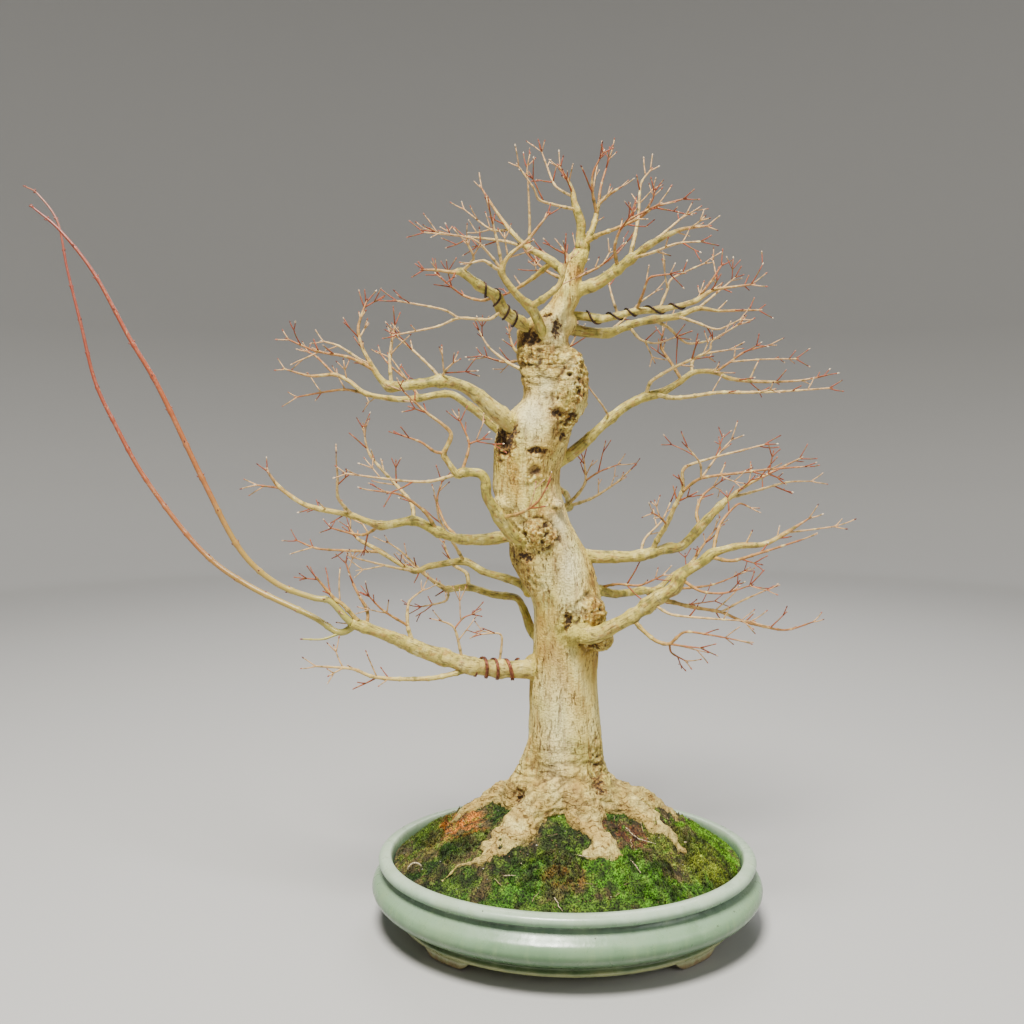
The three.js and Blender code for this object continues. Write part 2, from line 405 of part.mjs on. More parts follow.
      [[-42, 102, 488, 1.9], [-68, 108, 486, 1.4], [-94, 114, 494, 0.9]],
    ],
  },
  crown_back_limb: {
    stem: [[0, 2, 548, 6], [4, 24, 556, 5.4], [2, 44, 568, 4.6], [10, 64, 574, 3.7], [8, 84, 586, 2.7],
     [16, 102, 600, 1.7], [14, 116, 616, 0.8]],
    shoots: [
      [[2, 44, 568, 2.2], [-20, 54, 580, 1.7], [-40, 62, 598, 1.1], [-50, 70, 614, 0.7]],
      [[10, 64, 574, 2], [34, 72, 586, 1.5], [56, 80, 602, 1], [70, 86, 618, 0.7]],
      [[8, 84, 586, 1.7], [-10, 96, 598, 1.2], [-26, 106, 612, 0.7]],
    ],
  },
};
// A long shoot grows from the end of this limb.
const SHOOT_PARENT = "low_left_limb";
const LONG_SHOOTS = ["long_shoot_upper", "long_shoot_lower"];

// Training wires: the limb, the stretch that is wound as shares of its length, and the number of turns.
const WIRES = {
  wire_low_left: { limb: "low_left_limb", from: 0.14, to: 0.36, turns: 4 },
  wire_crown_left: { limb: "crown_left_limb", from: 0.22, to: 0.62, turns: 4 },
  wire_right_front: { limb: "wired_right_front_limb", from: 0.16, to: 0.66, turns: 5 },
};

// ---- turning three.js geometry into solids and back ----
function toSolid(geometry) {
  const bare = geometry.clone();
  bare.deleteAttribute("normal");
  bare.deleteAttribute("uv");
  const welded = mergeVertices(bare, 1e-4);
  return new Manifold(new Mesh({
    numProp: 3,
    vertProperties: new Float32Array(welded.attributes.position.array),
    triVerts: new Uint32Array(welded.index.array),
  }));
}

function toGeometry(solid) {
  const mesh = solid.getMesh();
  const geometry = new THREE.BufferGeometry();
  geometry.setAttribute("position", new THREE.BufferAttribute(mesh.vertProperties, 3));
  geometry.setIndex(new THREE.BufferAttribute(mesh.triVerts, 1));
  geometry.computeVertexNormals();
  return geometry;
}

function material(colour, roughness, metalness = 0) {
  return new THREE.MeshStandardMaterial({ color: new THREE.Color(...colour), roughness, metalness });
}

// ---- closed solids from rings of points ----
// Each ring has the same number of points. The ends are closed by a point at each ring's middle.
function solidFromRings(rings) {
  const sides = rings[0].length;
  const middle = (ring) => ring.reduce((sum, p) => sum.add(p), new THREE.Vector3()).divideScalar(sides);
  const points = [...rings.flat(), middle(rings[0]), middle(rings[rings.length - 1])];
  const faces = [];
  for (let ring = 0; ring < rings.length - 1; ring += 1) {
    for (let side = 0; side < sides; side += 1) {
      const next = (side + 1) % sides;
      const a = ring * sides + side;
      const b = ring * sides + next;
      faces.push(a, b, b + sides, a, b + sides, a + sides);
    }
  }
  const start = rings.length * sides;
  const last = (rings.length - 1) * sides;
  for (let side = 0; side < sides; side += 1) {
    const next = (side + 1) % sides;
    faces.push(start, next, side);
    faces.push(start + 1, last + side, last + next);
  }
  const geometry = new THREE.BufferGeometry();
  geometry.setAttribute("position", new THREE.Float32BufferAttribute(points.flatMap((p) => p.toArray()), 3));
  geometry.setIndex(faces);
  return toSolid(geometry);
}

// A round stem through points of X, Y, Z and radius, every radius larger by grow.
function stemSolid(points, sides, grow = 0) {
  const centres = points.map((p) => new THREE.Vector3(p[0], p[1], p[2]));
  const rings = [];
  let across = null;
  const last = centres.length - 1;
  centres.forEach((centre, i) => {
    const before = centres[Math.max(i - 1, 0)];
    const after = centres[Math.min(i + 1, last)];
    const along = after.clone().sub(before).normalize();
    const shift = (i === last ? grow : 0) - (i === 0 ? grow : 0);
    const middle = centre.clone().addScaledVector(along, shift);
    if (across === null) {
      across = Math.abs(along.z) < 0.9 ? new THREE.Vector3(0, 0, 1) : new THREE.Vector3(1, 0, 0);
    }
    across = across.clone().addScaledVector(along, -across.dot(along)).normalize();
    const other = along.clone().cross(across);
    const radius = points[i][3] + grow;
    const ring = [];
    for (let side = 0; side < sides; side += 1) {
      const angle = (2 * Math.PI * side) / sides;
      const point = middle.clone().addScaledVector(across, radius * Math.cos(angle));
      ring.push(point.addScaledVector(other, radius * Math.sin(angle)));
    }
    rings.push(ring);
  });
  return solidFromRings(rings);
}

// ---- the pot's oval ----
// A point of the oval that stands in from the widest one by inset, at this share of a turn.
function ovalPoint(inset, turn, z) {
  const angle = 2 * Math.PI * turn;
  const x = (POT_LENGTH / 2 - inset) * Math.cos(angle);
  const y = (POT_WIDTH / 2 - inset) * Math.sin(angle);
  return new THREE.Vector3(x, y, z);
}

function ovalRing(inset, z) {
  return Array.from({ length: POT_SEGMENTS }, (_, i) => ovalPoint(inset, i / POT_SEGMENTS, z));
}

function wallZ(share) {
  return FOOT_HEIGHT + share * (POT_HEIGHT - FOOT_HEIGHT);
}

// ---- pot ----
function footSolid(sideX, sideY) {
  const half = FOOT_LENGTH / 2;
  const corner = FOOT_DEPTH * FOOT_CORNER_SHARE;
  const outline = new THREE.Shape();
  outline.moveTo(-half + corner, 0);
  outline.lineTo(half - corner, 0);
  outline.quadraticCurveTo(half, 0, half, corner);
  outline.lineTo(half - corner, FOOT_DEPTH);
  outline.lineTo(-half + corner, FOOT_DEPTH);
  outline.lineTo(-half, corner);
  outline.quadraticCurveTo(-half, 0, -half + corner, 0);
  const options = { depth: FOOT_HEIGHT + FOOT_OVERLAP, bevelEnabled: false, curveSegments: 4 };
  const block = toSolid(new THREE.ExtrudeGeometry(outline, options));
  const place = footPlace(sideX, sideY);
  return block.rotate([0, 0, place.turn]).translate([place.x, place.y, 0]);
}

// The middle of a foot's outer edge, and the turn in degrees that faces it out of the oval.
function footPlace(sideX, sideY) {
  const baseInset = OUTSIDE_PROFILE[0][0] + FOOT_INSET;
  const halfLength = POT_LENGTH / 2 - baseInset;
  const halfWidth = POT_WIDTH / 2 - baseInset;
  const x = FOOT_ACROSS / 2;
  const y = halfWidth * Math.sqrt(1 - (x / halfLength) ** 2);
  const lean = (Math.atan2(x / halfLength ** 2, y / halfWidth ** 2) * 180) / Math.PI;
  const turn = sideY < 0 ? lean * sideX : 180 - lean * sideX;
  return { x: x * sideX, y: y * sideY, turn };
}

function potSolid() {
  const outside = solidFromRings(OUTSIDE_PROFILE.map(([inset, share]) => ovalRing(inset, wallZ(share))));
  const insideRings = [
    ovalRing(FLOOR_INSET, FLOOR_Z),
    ovalRing(FLOOR_INSET - FLOOR_SLOPE_WIDTH, FLOOR_Z + FLOOR_SLOPE_HEIGHT),
    ...INSIDE_PROFILE.map(([inset, share]) => ovalRing(inset, wallZ(share))).reverse(),
  ];
  insideRings.push(ovalRing(INSIDE_PROFILE[0][0], POT_HEIGHT + 1));
  let pot = outside.subtract(solidFromRings(insideRings));
  for (const side of [-1, 1]) {
    const drill = new THREE.CylinderGeometry(DRAIN_HOLE_RADIUS, DRAIN_HOLE_RADIUS, 2 * FLOOR_Z, 16);
    drill.rotateX(Math.PI / 2);
    pot = pot.subtract(toSolid(drill).translate([(side * DRAIN_HOLE_SPACING) / 2, 0, FLOOR_Z]));
    pot = pot.add(footSolid(side, -1)).add(footSolid(side, 1));
  }
  return pot;
}

// ---- soil ----
const SOIL_HALF_LENGTH = POT_LENGTH / 2 - INSIDE_INSET - GAP;
const SOIL_HALF_WIDTH = POT_WIDTH / 2 - INSIDE_INSET - GAP;
const SOIL_RING_SHARES = [0.92, 0.8, 0.6, 0.4, 0.2];

// Height of the soil at a place given as shares of its half length and half width.
function soilZ(shareX, shareY) {
  return SOIL_EDGE_Z + SOIL_RISE * (1 - shareX ** 2 - shareY ** 2);
}

function soilSolid(tree, screens) {
  const rings = [
    ovalRing(FLOOR_INSET + GAP, FLOOR_Z + GAP),
    ovalRing(FLOOR_INSET - FLOOR_SLOPE_WIDTH + GAP, FLOOR_Z + FLOOR_SLOPE_HEIGHT + GAP),
    ovalRing(INSIDE_INSET + GAP, SOIL_EDGE_Z),
  ];
  for (const share of SOIL_RING_SHARES) {
    rings.push(ovalRing(0, 0).map((edge) => {
      const shareX = (edge.x / (POT_LENGTH / 2)) * share;
      const shareY = (edge.y / (POT_WIDTH / 2)) * share;
      return new THREE.Vector3(shareX * SOIL_HALF_LENGTH, shareY * SOIL_HALF_WIDTH, soilZ(shareX, shareY));
    }));
  }
  let soil = solidFromRings(rings).subtract(tree);
  for (const screen of screens) {
    soil = soil.subtract(screen);
  }
  return soil;
}

// ---- drain screens ----
function screenSolid(side, grow = 0) {
  const x = (side * DRAIN_HOLE_SPACING) / 2;
  const z = FLOOR_Z + GAP + SCREEN_THICKNESS / 2;
  const size = SCREEN_SIZE + 2 * grow;
  let screen = toSolid(new THREE.BoxGeometry(size, size, SCREEN_THICKNESS + 2 * grow));
  if (grow === 0) {
    const cell = SCREEN_SIZE / (SCREEN_WINDOWS + SCREEN_EDGE);
    const open = cell * SCREEN_OPEN_SHARE;
    const hole = toSolid(new THREE.BoxGeometry(open, open, SCREEN_THICKNESS * 2));
    const middle = (SCREEN_WINDOWS - 1) / 2;
    for (let row = 0; row < SCREEN_WINDOWS; row += 1) {
      for (let column = 0; column < SCREEN_WINDOWS; column += 1) {
        screen = screen.subtract(hole.translate([(row - middle) * cell, (column - middle) * cell, 0]));
      }
    }
  }
  return screen.translate([x, 0, z]);
}

// ---- tree ----
function treePoint([x, y, z, radius]) {
  const places = [x * TREE_SCALE, TREE_BEHIND_MIDDLE + y * TREE_SCALE, TREE_Z + z * TREE_SCALE];
  return [...places, radius * TREE_SCALE];
}

function rootPoint([shareX, shareY, lift, radius]) {
  return [shareX * SOIL_HALF_LENGTH, shareY * SOIL_HALF_WIDTH, soilZ(shareX, shareY) + lift, radius];
}

function trunkSolid(grow = 0) {
  const sides = 16;
  const sections = [[-ROOT_DEPTH - grow, ...ROOT_STOCK], ...TRUNK_SECTIONS];
  const rings = sections.map(([z, x, y, halfX, halfY], i) => {
    const top = i === sections.length - 1 ? grow : 0;
    return Array.from({ length: sides }, (_, side) => {
      const angle = (2 * Math.PI * side) / sides;
      const pointX = x * TREE_SCALE + (halfX * TREE_SCALE + grow) * Math.cos(angle);
      const pointY = TREE_BEHIND_MIDDLE + y * TREE_SCALE + (halfY * TREE_SCALE + grow) * Math.sin(angle);
      return new THREE.Vector3(pointX, pointY, TREE_Z + z * TREE_SCALE + top);
    });
  });
  let trunk = solidFromRings(rings);
  for (const burl of BURLS) {
    const [x, y, z] = treePoint([...burl.at, 0]);
    const ball = toSolid(new THREE.SphereGeometry(1, 8, 6));
    const half = burl.half.map((value) => value * TREE_SCALE + grow);
    trunk = trunk.add(ball.scale(half).translate([x, y, z]));
  }
  for (const root of Object.values(ROOTS)) {
    trunk = trunk.add(stemSolid(root.map(rootPoint), 8, grow));
  }
  return trunk;
}

function limbSolid(limb, grow = 0) {
  let solid = stemSolid(limb.stem.map(treePoint), 7, grow);
  for (const shoot of limb.shoots) {
    solid = solid.add(stemSolid(shoot.map(treePoint), 4, grow));
  }
  return solid;
}

// ---- training wire ----
// Gives a limb's centre, its directions along, up and sideways, and its radius, at a share of its length.
function limbFrames(points) {
  const line = new THREE.CurvePath();
  for (let i = 1; i < points.length; i += 1) {
    line.add(new THREE.LineCurve3(new THREE.Vector3(...points[i - 1]), new THREE.Vector3(...points[i])));
  }
  const lengths = line.getCurveLengths();
  const whole = lengths[lengths.length - 1];
  const step = 0.02;
  return (share) => {
    const distance = share * whole;
    const i = Math.max(0, lengths.findIndex((length) => length >= distance));
    const before = i === 0 ? 0 : lengths[i - 1];
    const part = (distance - before) / (lengths[i] - before);
    const radius = THREE.MathUtils.lerp(points[i][3], points[i + 1][3], part);
    const centre = line.getPoint(share);
    const along = line.getPoint(share + step).sub(line.getPoint(share - step)).normalize();
    const up = new THREE.Vector3(0, 0, 1).addScaledVector(along, -along.z).normalize();
    return { centre, along, up, side: along.clone().cross(up), radius };
  };
}

// Where a side shoot leaves the limb: the share of its length, and the angle round it.
function shootPlace(shoot, frameAt) {
  const foot = new THREE.Vector3(...shoot[0]);
  const tip = new THREE.Vector3(...shoot[1]);
  const [first, last, tries] = [0.1, 0.9, 81];
  const shares = Array.from({ length: tries }, (_, i) => THREE.MathUtils.lerp(first, last, i / (tries - 1)));
  const apart = (share) => frameAt(share).centre.distanceTo(foot);
  const share = shares.reduce((best, each) => (apart(each) < apart(best) ? each : best));
  const { up, side } = frameAt(share);
  const away = tip.sub(foot);
  return { share, angle: Math.atan2(away.dot(side), away.dot(up)), apart: apart(share) };
}

// A helix along a limb that passes each side shoot on the side away from it.
function wireSolid({ limb, from, to, turns }) {
  const frameAt = limbFrames(LIMBS[limb].stem.map(treePoint));
  const full = 2 * Math.PI;
  const speed = (full * turns) / (to - from);
  const knots = [{ share: from, angle: 0 }];
  const forks = LIMBS[limb].shoots.map((shoot) => shootPlace(shoot.map(treePoint), frameAt));
  for (const fork of forks.sort((a, b) => a.share - b.share)) {
    const before = knots[knots.length - 1];
    if (fork.apart < frameAt(fork.share).radius && fork.share > before.share && fork.share < to) {
      const expected = before.angle + speed * (fork.share - before.share);
      const away = fork.angle + Math.PI;
      knots.push({ share: fork.share, angle: away + full * Math.round((expected - away) / full) });
    }
  }
  const last = knots[knots.length - 1];
  knots.push({ share: to, angle: last.angle + speed * (to - last.share) });
  const stepsPerTurn = 8;
  const route = [];
  for (let knot = 1; knot < knots.length; knot += 1) {
    const [a, b] = [knots[knot - 1], knots[knot]];
    const steps = Math.max(2, Math.round((Math.abs(b.angle - a.angle) / full) * stepsPerTurn));
    for (let step = knot === 1 ? 0 : 1; step <= steps; step += 1) {
      const share = THREE.MathUtils.lerp(a.share, b.share, step / steps);
      const { centre, up, side, radius } = frameAt(share);
      const angle = THREE.MathUtils.lerp(a.angle, b.angle, step / steps);
      const reach = (radius + 2 * GAP + WIRE_RADIUS) / Math.cos(Math.PI / stepsPerTurn);
      centre.addScaledVector(up, reach * Math.cos(angle)).addScaledVector(side, reach * Math.sin(angle));
      route.push([centre.x, centre.y, centre.z, WIRE_RADIUS]);
    }
  }
  return stemSolid(route, 4);
}

// ---- moss ----
function mossSolid({ at, half, rise }, tree) {
  const sides = 12;
  const shares = [0.45, 0.8, 1];
  const point = (share, side, lift) => {
    const angle = (2 * Math.PI * side) / sides;
    const lobe = 1 + 0.14 * Math.sin(3 * angle + at[0] * 9);
    const shareX = at[0] + half[0] * share * lobe * Math.cos(angle);
    const shareY = at[1] + half[1] * share * lobe * Math.sin(angle);
    const z = soilZ(shareX, shareY) + MOSS_CLEARANCE + lift;
    return new THREE.Vector3(shareX * SOIL_HALF_LENGTH, shareY * SOIL_HALF_WIDTH, z);
  };
  const ring = (share, lift) => Array.from({ length: sides }, (_, side) => point(share, side, lift));
  const under = shares.map((share) => ring(share, 0));
  const over = shares.map((share) => ring(share, MOSS_EDGE + rise * Math.sqrt(1 - share ** 2))).reverse();
  return solidFromRings([...under, ...over]).subtract(tree);
}

// ---- putting it together ----
const assembly = new THREE.Group();

function addPiece(name, solid, look) {
  const mesh = new THREE.Mesh(toGeometry(solid), look);
  mesh.name = name;
  assembly.add(mesh);
}

const looks = {
  glaze: material(COLOURS.glaze, 0.25),
  bark: material(COLOURS.bark, 0.85),
  limb: material(COLOURS.limb, 0.75),
  shoot: material(COLOURS.shoot, 0.6),
  soil: material(COLOURS.soil, 1),
  moss: material(COLOURS.moss, 1),
  copper: material(COLOURS.copper, 0.45, 0.8),
  screen: material(COLOURS.screen, 0.7),
};

const trunk = trunkSolid();
const trunkClearance = trunkSolid(GAP);

addPiece("pot", potSolid(), looks.glaze);
addPiece("soil", soilSolid(trunkClearance, [screenSolid(-1, GAP), screenSolid(1, GAP)]), looks.soil);
addPiece("drain_screen_left", screenSolid(-1), looks.screen);
addPiece("drain_screen_right", screenSolid(1), looks.screen);
addPiece("trunk_and_surface_roots", trunk, looks.bark);
for (const [name, moss] of Object.entries(MOSSES)) {
  addPiece(name, mossSolid(moss, trunkClearance), looks.moss);
}
for (const [name, limb] of Object.entries(LIMBS)) {
  if (LONG_SHOOTS.includes(name)) {
    addPiece(name, limbSolid(limb).subtract(limbSolid(LIMBS[SHOOT_PARENT], GAP)), looks.shoot);
  } else {
    addPiece(name, limbSolid(limb).subtract(trunkClearance), looks.limb);
  }
}
for (const [name, wire] of Object.entries(WIRES)) {
  addPiece(name, wireSolid(wire), looks.copper);
}

// The origin is the middle of the whole object's box, on the ground.
const box = new THREE.Box3().setFromObject(assembly);
const middle = box.getCenter(new THREE.Vector3());
assembly.position.set(-middle.x, -middle.y, -box.min.z);

const bonsai = new THREE.Group();
bonsai.name = "bonsai";
bonsai.add(assembly);
export default bonsai;
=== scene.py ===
# A maple bonsai in an oval glazed pot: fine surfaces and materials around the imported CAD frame.
# Blender works in metres. The tree, soil and pot are shaped in millimetres about the pot's middle, on
# the ground, and the mesh maker turns them into metres at the pot's place in the frame.
import itertools
import math

import bpy
import numpy as np
from mathutils.kdtree import KDTree
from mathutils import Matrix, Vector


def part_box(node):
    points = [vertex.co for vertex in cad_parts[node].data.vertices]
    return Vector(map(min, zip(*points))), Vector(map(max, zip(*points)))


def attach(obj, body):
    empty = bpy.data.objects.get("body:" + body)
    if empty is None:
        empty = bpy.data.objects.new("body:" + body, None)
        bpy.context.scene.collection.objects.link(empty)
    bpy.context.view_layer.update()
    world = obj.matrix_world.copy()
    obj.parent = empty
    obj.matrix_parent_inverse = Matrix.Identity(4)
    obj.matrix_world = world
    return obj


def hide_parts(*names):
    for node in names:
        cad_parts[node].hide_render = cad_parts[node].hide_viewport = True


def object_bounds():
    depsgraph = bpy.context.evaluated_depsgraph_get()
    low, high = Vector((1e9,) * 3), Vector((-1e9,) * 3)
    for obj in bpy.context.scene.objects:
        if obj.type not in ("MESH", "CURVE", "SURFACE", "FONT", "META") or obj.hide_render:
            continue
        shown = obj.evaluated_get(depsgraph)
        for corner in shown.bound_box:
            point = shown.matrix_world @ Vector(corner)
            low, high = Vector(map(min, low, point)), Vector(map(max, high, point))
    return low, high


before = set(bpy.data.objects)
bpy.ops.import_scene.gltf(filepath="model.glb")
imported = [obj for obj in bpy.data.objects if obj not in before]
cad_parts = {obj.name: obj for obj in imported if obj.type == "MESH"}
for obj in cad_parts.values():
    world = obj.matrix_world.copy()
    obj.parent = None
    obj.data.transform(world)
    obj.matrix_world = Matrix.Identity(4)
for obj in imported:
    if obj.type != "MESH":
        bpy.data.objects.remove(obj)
cad_box = [[float(value) for value in corner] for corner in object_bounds()]

# ---- driving sizes, in millimetres ----
MM = 0.001
POT_LOW, POT_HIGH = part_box("pot")
POT_LENGTH, POT_WIDTH, POT_HEIGHT = [(high - low) / MM for low, high in zip(POT_LOW, POT_HIGH)]
POT_MIDDLE = np.array([(POT_LOW[0] + POT_HIGH[0]) / 2, (POT_LOW[1] + POT_HIGH[1]) / 2, POT_LOW[2]])
FOOT_HEIGHT = 10
FOOT_LENGTH = 58
FOOT_DEPTH = 26
FOOT_ACROSS = 252
POT_FLOOR_Z = 19
BASE_INSET = 31
NECK_INSET = 15
LIP_INSET = 7
LIP_WIDTH = 14
INSIDE_INSET = 23
FLOOR_INSET = 42
DRAIN_HOLE_RADIUS = 13
DRAIN_HOLE_SPACING = 130
SOIL_EDGE_Z = 71
SOIL_RISE = 60
SOIL_GAP = 0.35
SOIL_HALF_LENGTH = POT_LENGTH / 2 - INSIDE_INSET - SOIL_GAP
SOIL_HALF_WIDTH = POT_WIDTH / 2 - INSIDE_INSET - SOIL_GAP
SOIL_HALF_SIZES = np.array([SOIL_HALF_LENGTH, SOIL_HALF_WIDTH])
TREE_SINK = 12
TREE_Z = SOIL_EDGE_Z + SOIL_RISE - TREE_SINK
TREE_BEHIND_MIDDLE = 10
ROOT_DEPTH = 34
WIRE_RADIUS = 1.1
TWIG_RADIUS = 0.88
TIP_RADIUS = 0.52
UP = np.array([0.0, 0.0, 1.0])
FULL_TURN = 2 * math.pi
SEED = 11

# The camera: where it stands from the pot's middle, in metres, its downward tilt, and its lens.
CAMERA_PLACE = (-0.0586, -1.065, 0.536)
CAMERA_TILT = 5
CAMERA_LENS = 36
CAMERA_SENSOR = 36

# ---- the tree's shape, repeated from the CAD source ----
# The trunk's sections: height above the tree's base line, centre in X and Y, half widths across and deep.
TRUNK_SECTIONS = [
    [-ROOT_DEPTH, -6, 0, 46, 40],
    [10, -6, 0, 52, 46], [44, -5, 0, 47, 42], [65, -2, 0, 41, 38], [107, -3, 0, 37, 35],
    [139, -4, 0, 35.5, 34], [170, -2, 0, 34.5, 34], [222, 0, -2, 36, 36], [246, -8, -2, 40, 36],
    [273, -19, -2, 42, 37], [293, -25, -2, 38, 36], [314, -32, -2, 34, 34], [344, -43, -2, 34.5, 33],
    [364, -44, -2, 34, 33], [384, -41, -2, 37, 34], [404, -37, -3, 39, 35], [424, -28, -3, 38, 34],
    [443, -16, -4, 32, 31], [464, -17, -4, 34, 31], [484, -24, -4, 30, 28], [503, -27, -4, 26, 25],
    [517, -26, -4, 24, 22], [541, -5, -5, 15.5, 15], [565, 1.5, -5, 11.5, 11.5], [589, 9, -5, 10, 10],
]
# Burls: centre above the tree's base line, and half sizes in X, Y and Z.
BURLS = [
    ([17, -22, 220], [23, 20, 22]),
    ([32, -26, 194], [15, 16, 14]),
    ([-29, -26, 299], [20, 17, 20]),
    ([-12, -23, 332], [7, 8, 7]),
    ([-5, -12, 455], [26, 24, 42]),
    ([-60, -12, 401], [17, 18, 24]),
    ([-66, -18, 333], [12, 12, 12]),
    ([-8, -2, 520], [18, 15, 16]),
    ([-34, -2, 157], [13, 13, 15]),
]
# Surface roots, from the trunk out: place as shares of the soil's half length and half width, height
# above the soil, and radius.
ROOTS = [
    [[-0.1, 0.02, 22, 24], [-0.27, 0.08, 12, 18], [-0.42, 0.12, 6, 15], [-0.54, 0.11, 0, 12],
     [-0.63, 0.06, -7, 8]],
    [[-0.06, -0.14, 24, 22], [-0.2, -0.27, 9, 20], [-0.31, -0.4, 3, 18], [-0.4, -0.51, -2, 12],
     [-0.52, -0.55, -3, 6], [-0.66, -0.58, -7, 4]],
    [[0.04, -0.16, 22, 21], [0.09, -0.29, 7, 20], [0.13, -0.42, 1, 14], [0.17, -0.54, 0, 15],
     [0.16, -0.66, -9, 8]],
    [[0.14, -0.46, -1, 11], [0.23, -0.58, -4, 7], [0.29, -0.66, -8, 4]],
    [[0.12, -0.06, 22, 22], [0.28, -0.1, 9, 20], [0.42, -0.16, 2, 16], [0.54, -0.28, -2, 9],
     [0.66, -0.37, -7, 5]],
    [[0.12, 0.04, 20, 23], [0.3, 0.12, 6, 17], [0.45, 0.14, 5, 15], [0.59, 0.12, 0, 11],
     [0.72, 0.06, -7, 7]],
    [[0.08, 0.12, 20, 20], [0.24, 0.3, 5, 17], [0.38, 0.47, -1, 13], [0.5, 0.58, -8, 8]],
    [[0, 0.14, 20, 20], [-0.04, 0.34, 4, 17], [-0.02, 0.52, -2, 13], [0.03, 0.66, -9, 7]],
    [[-0.08, 0.12, 20, 20], [-0.24, 0.26, 5, 18], [-0.4, 0.38, -1, 14], [-0.54, 0.45, -8, 8]],
]
# Moss cushions: centre and half sizes as shares of the soil's half length and half width, thickness.
MOSSES = {
    "moss_right": ([0.76, -0.3], [0.17, 0.3], 8),
    "moss_front_right": ([0.42, -0.7], [0.17, 0.16], 6),
    "moss_front": ([-0.12, -0.74], [0.19, 0.14], 7),
    "moss_front_left": ([-0.6, -0.36], [0.13, 0.12], 6),
    "moss_left": ([-0.78, 0.08], [0.1, 0.24], 5),
    "moss_back_left": ([-0.42, 0.68], [0.22, 0.14], 6),
    "moss_back_right": ([0.36, 0.76], [0.2, 0.11], 6),
}
# Training wires: the limb, the stretch that is wound as shares of its length, and the turns.
WIRES = {
    "wire_low_left": ("low_left_limb", 0.14, 0.36, 4),
    "wire_crown_left": ("crown_left_limb", 0.22, 0.62, 4),
    "wire_right_front": ("wired_right_front_limb", 0.16, 0.66, 5),
}
LONG_SHOOTS = ["long_shoot_upper", "long_shoot_lower"]
SHOOTING_LIMB = "low_left_limb"
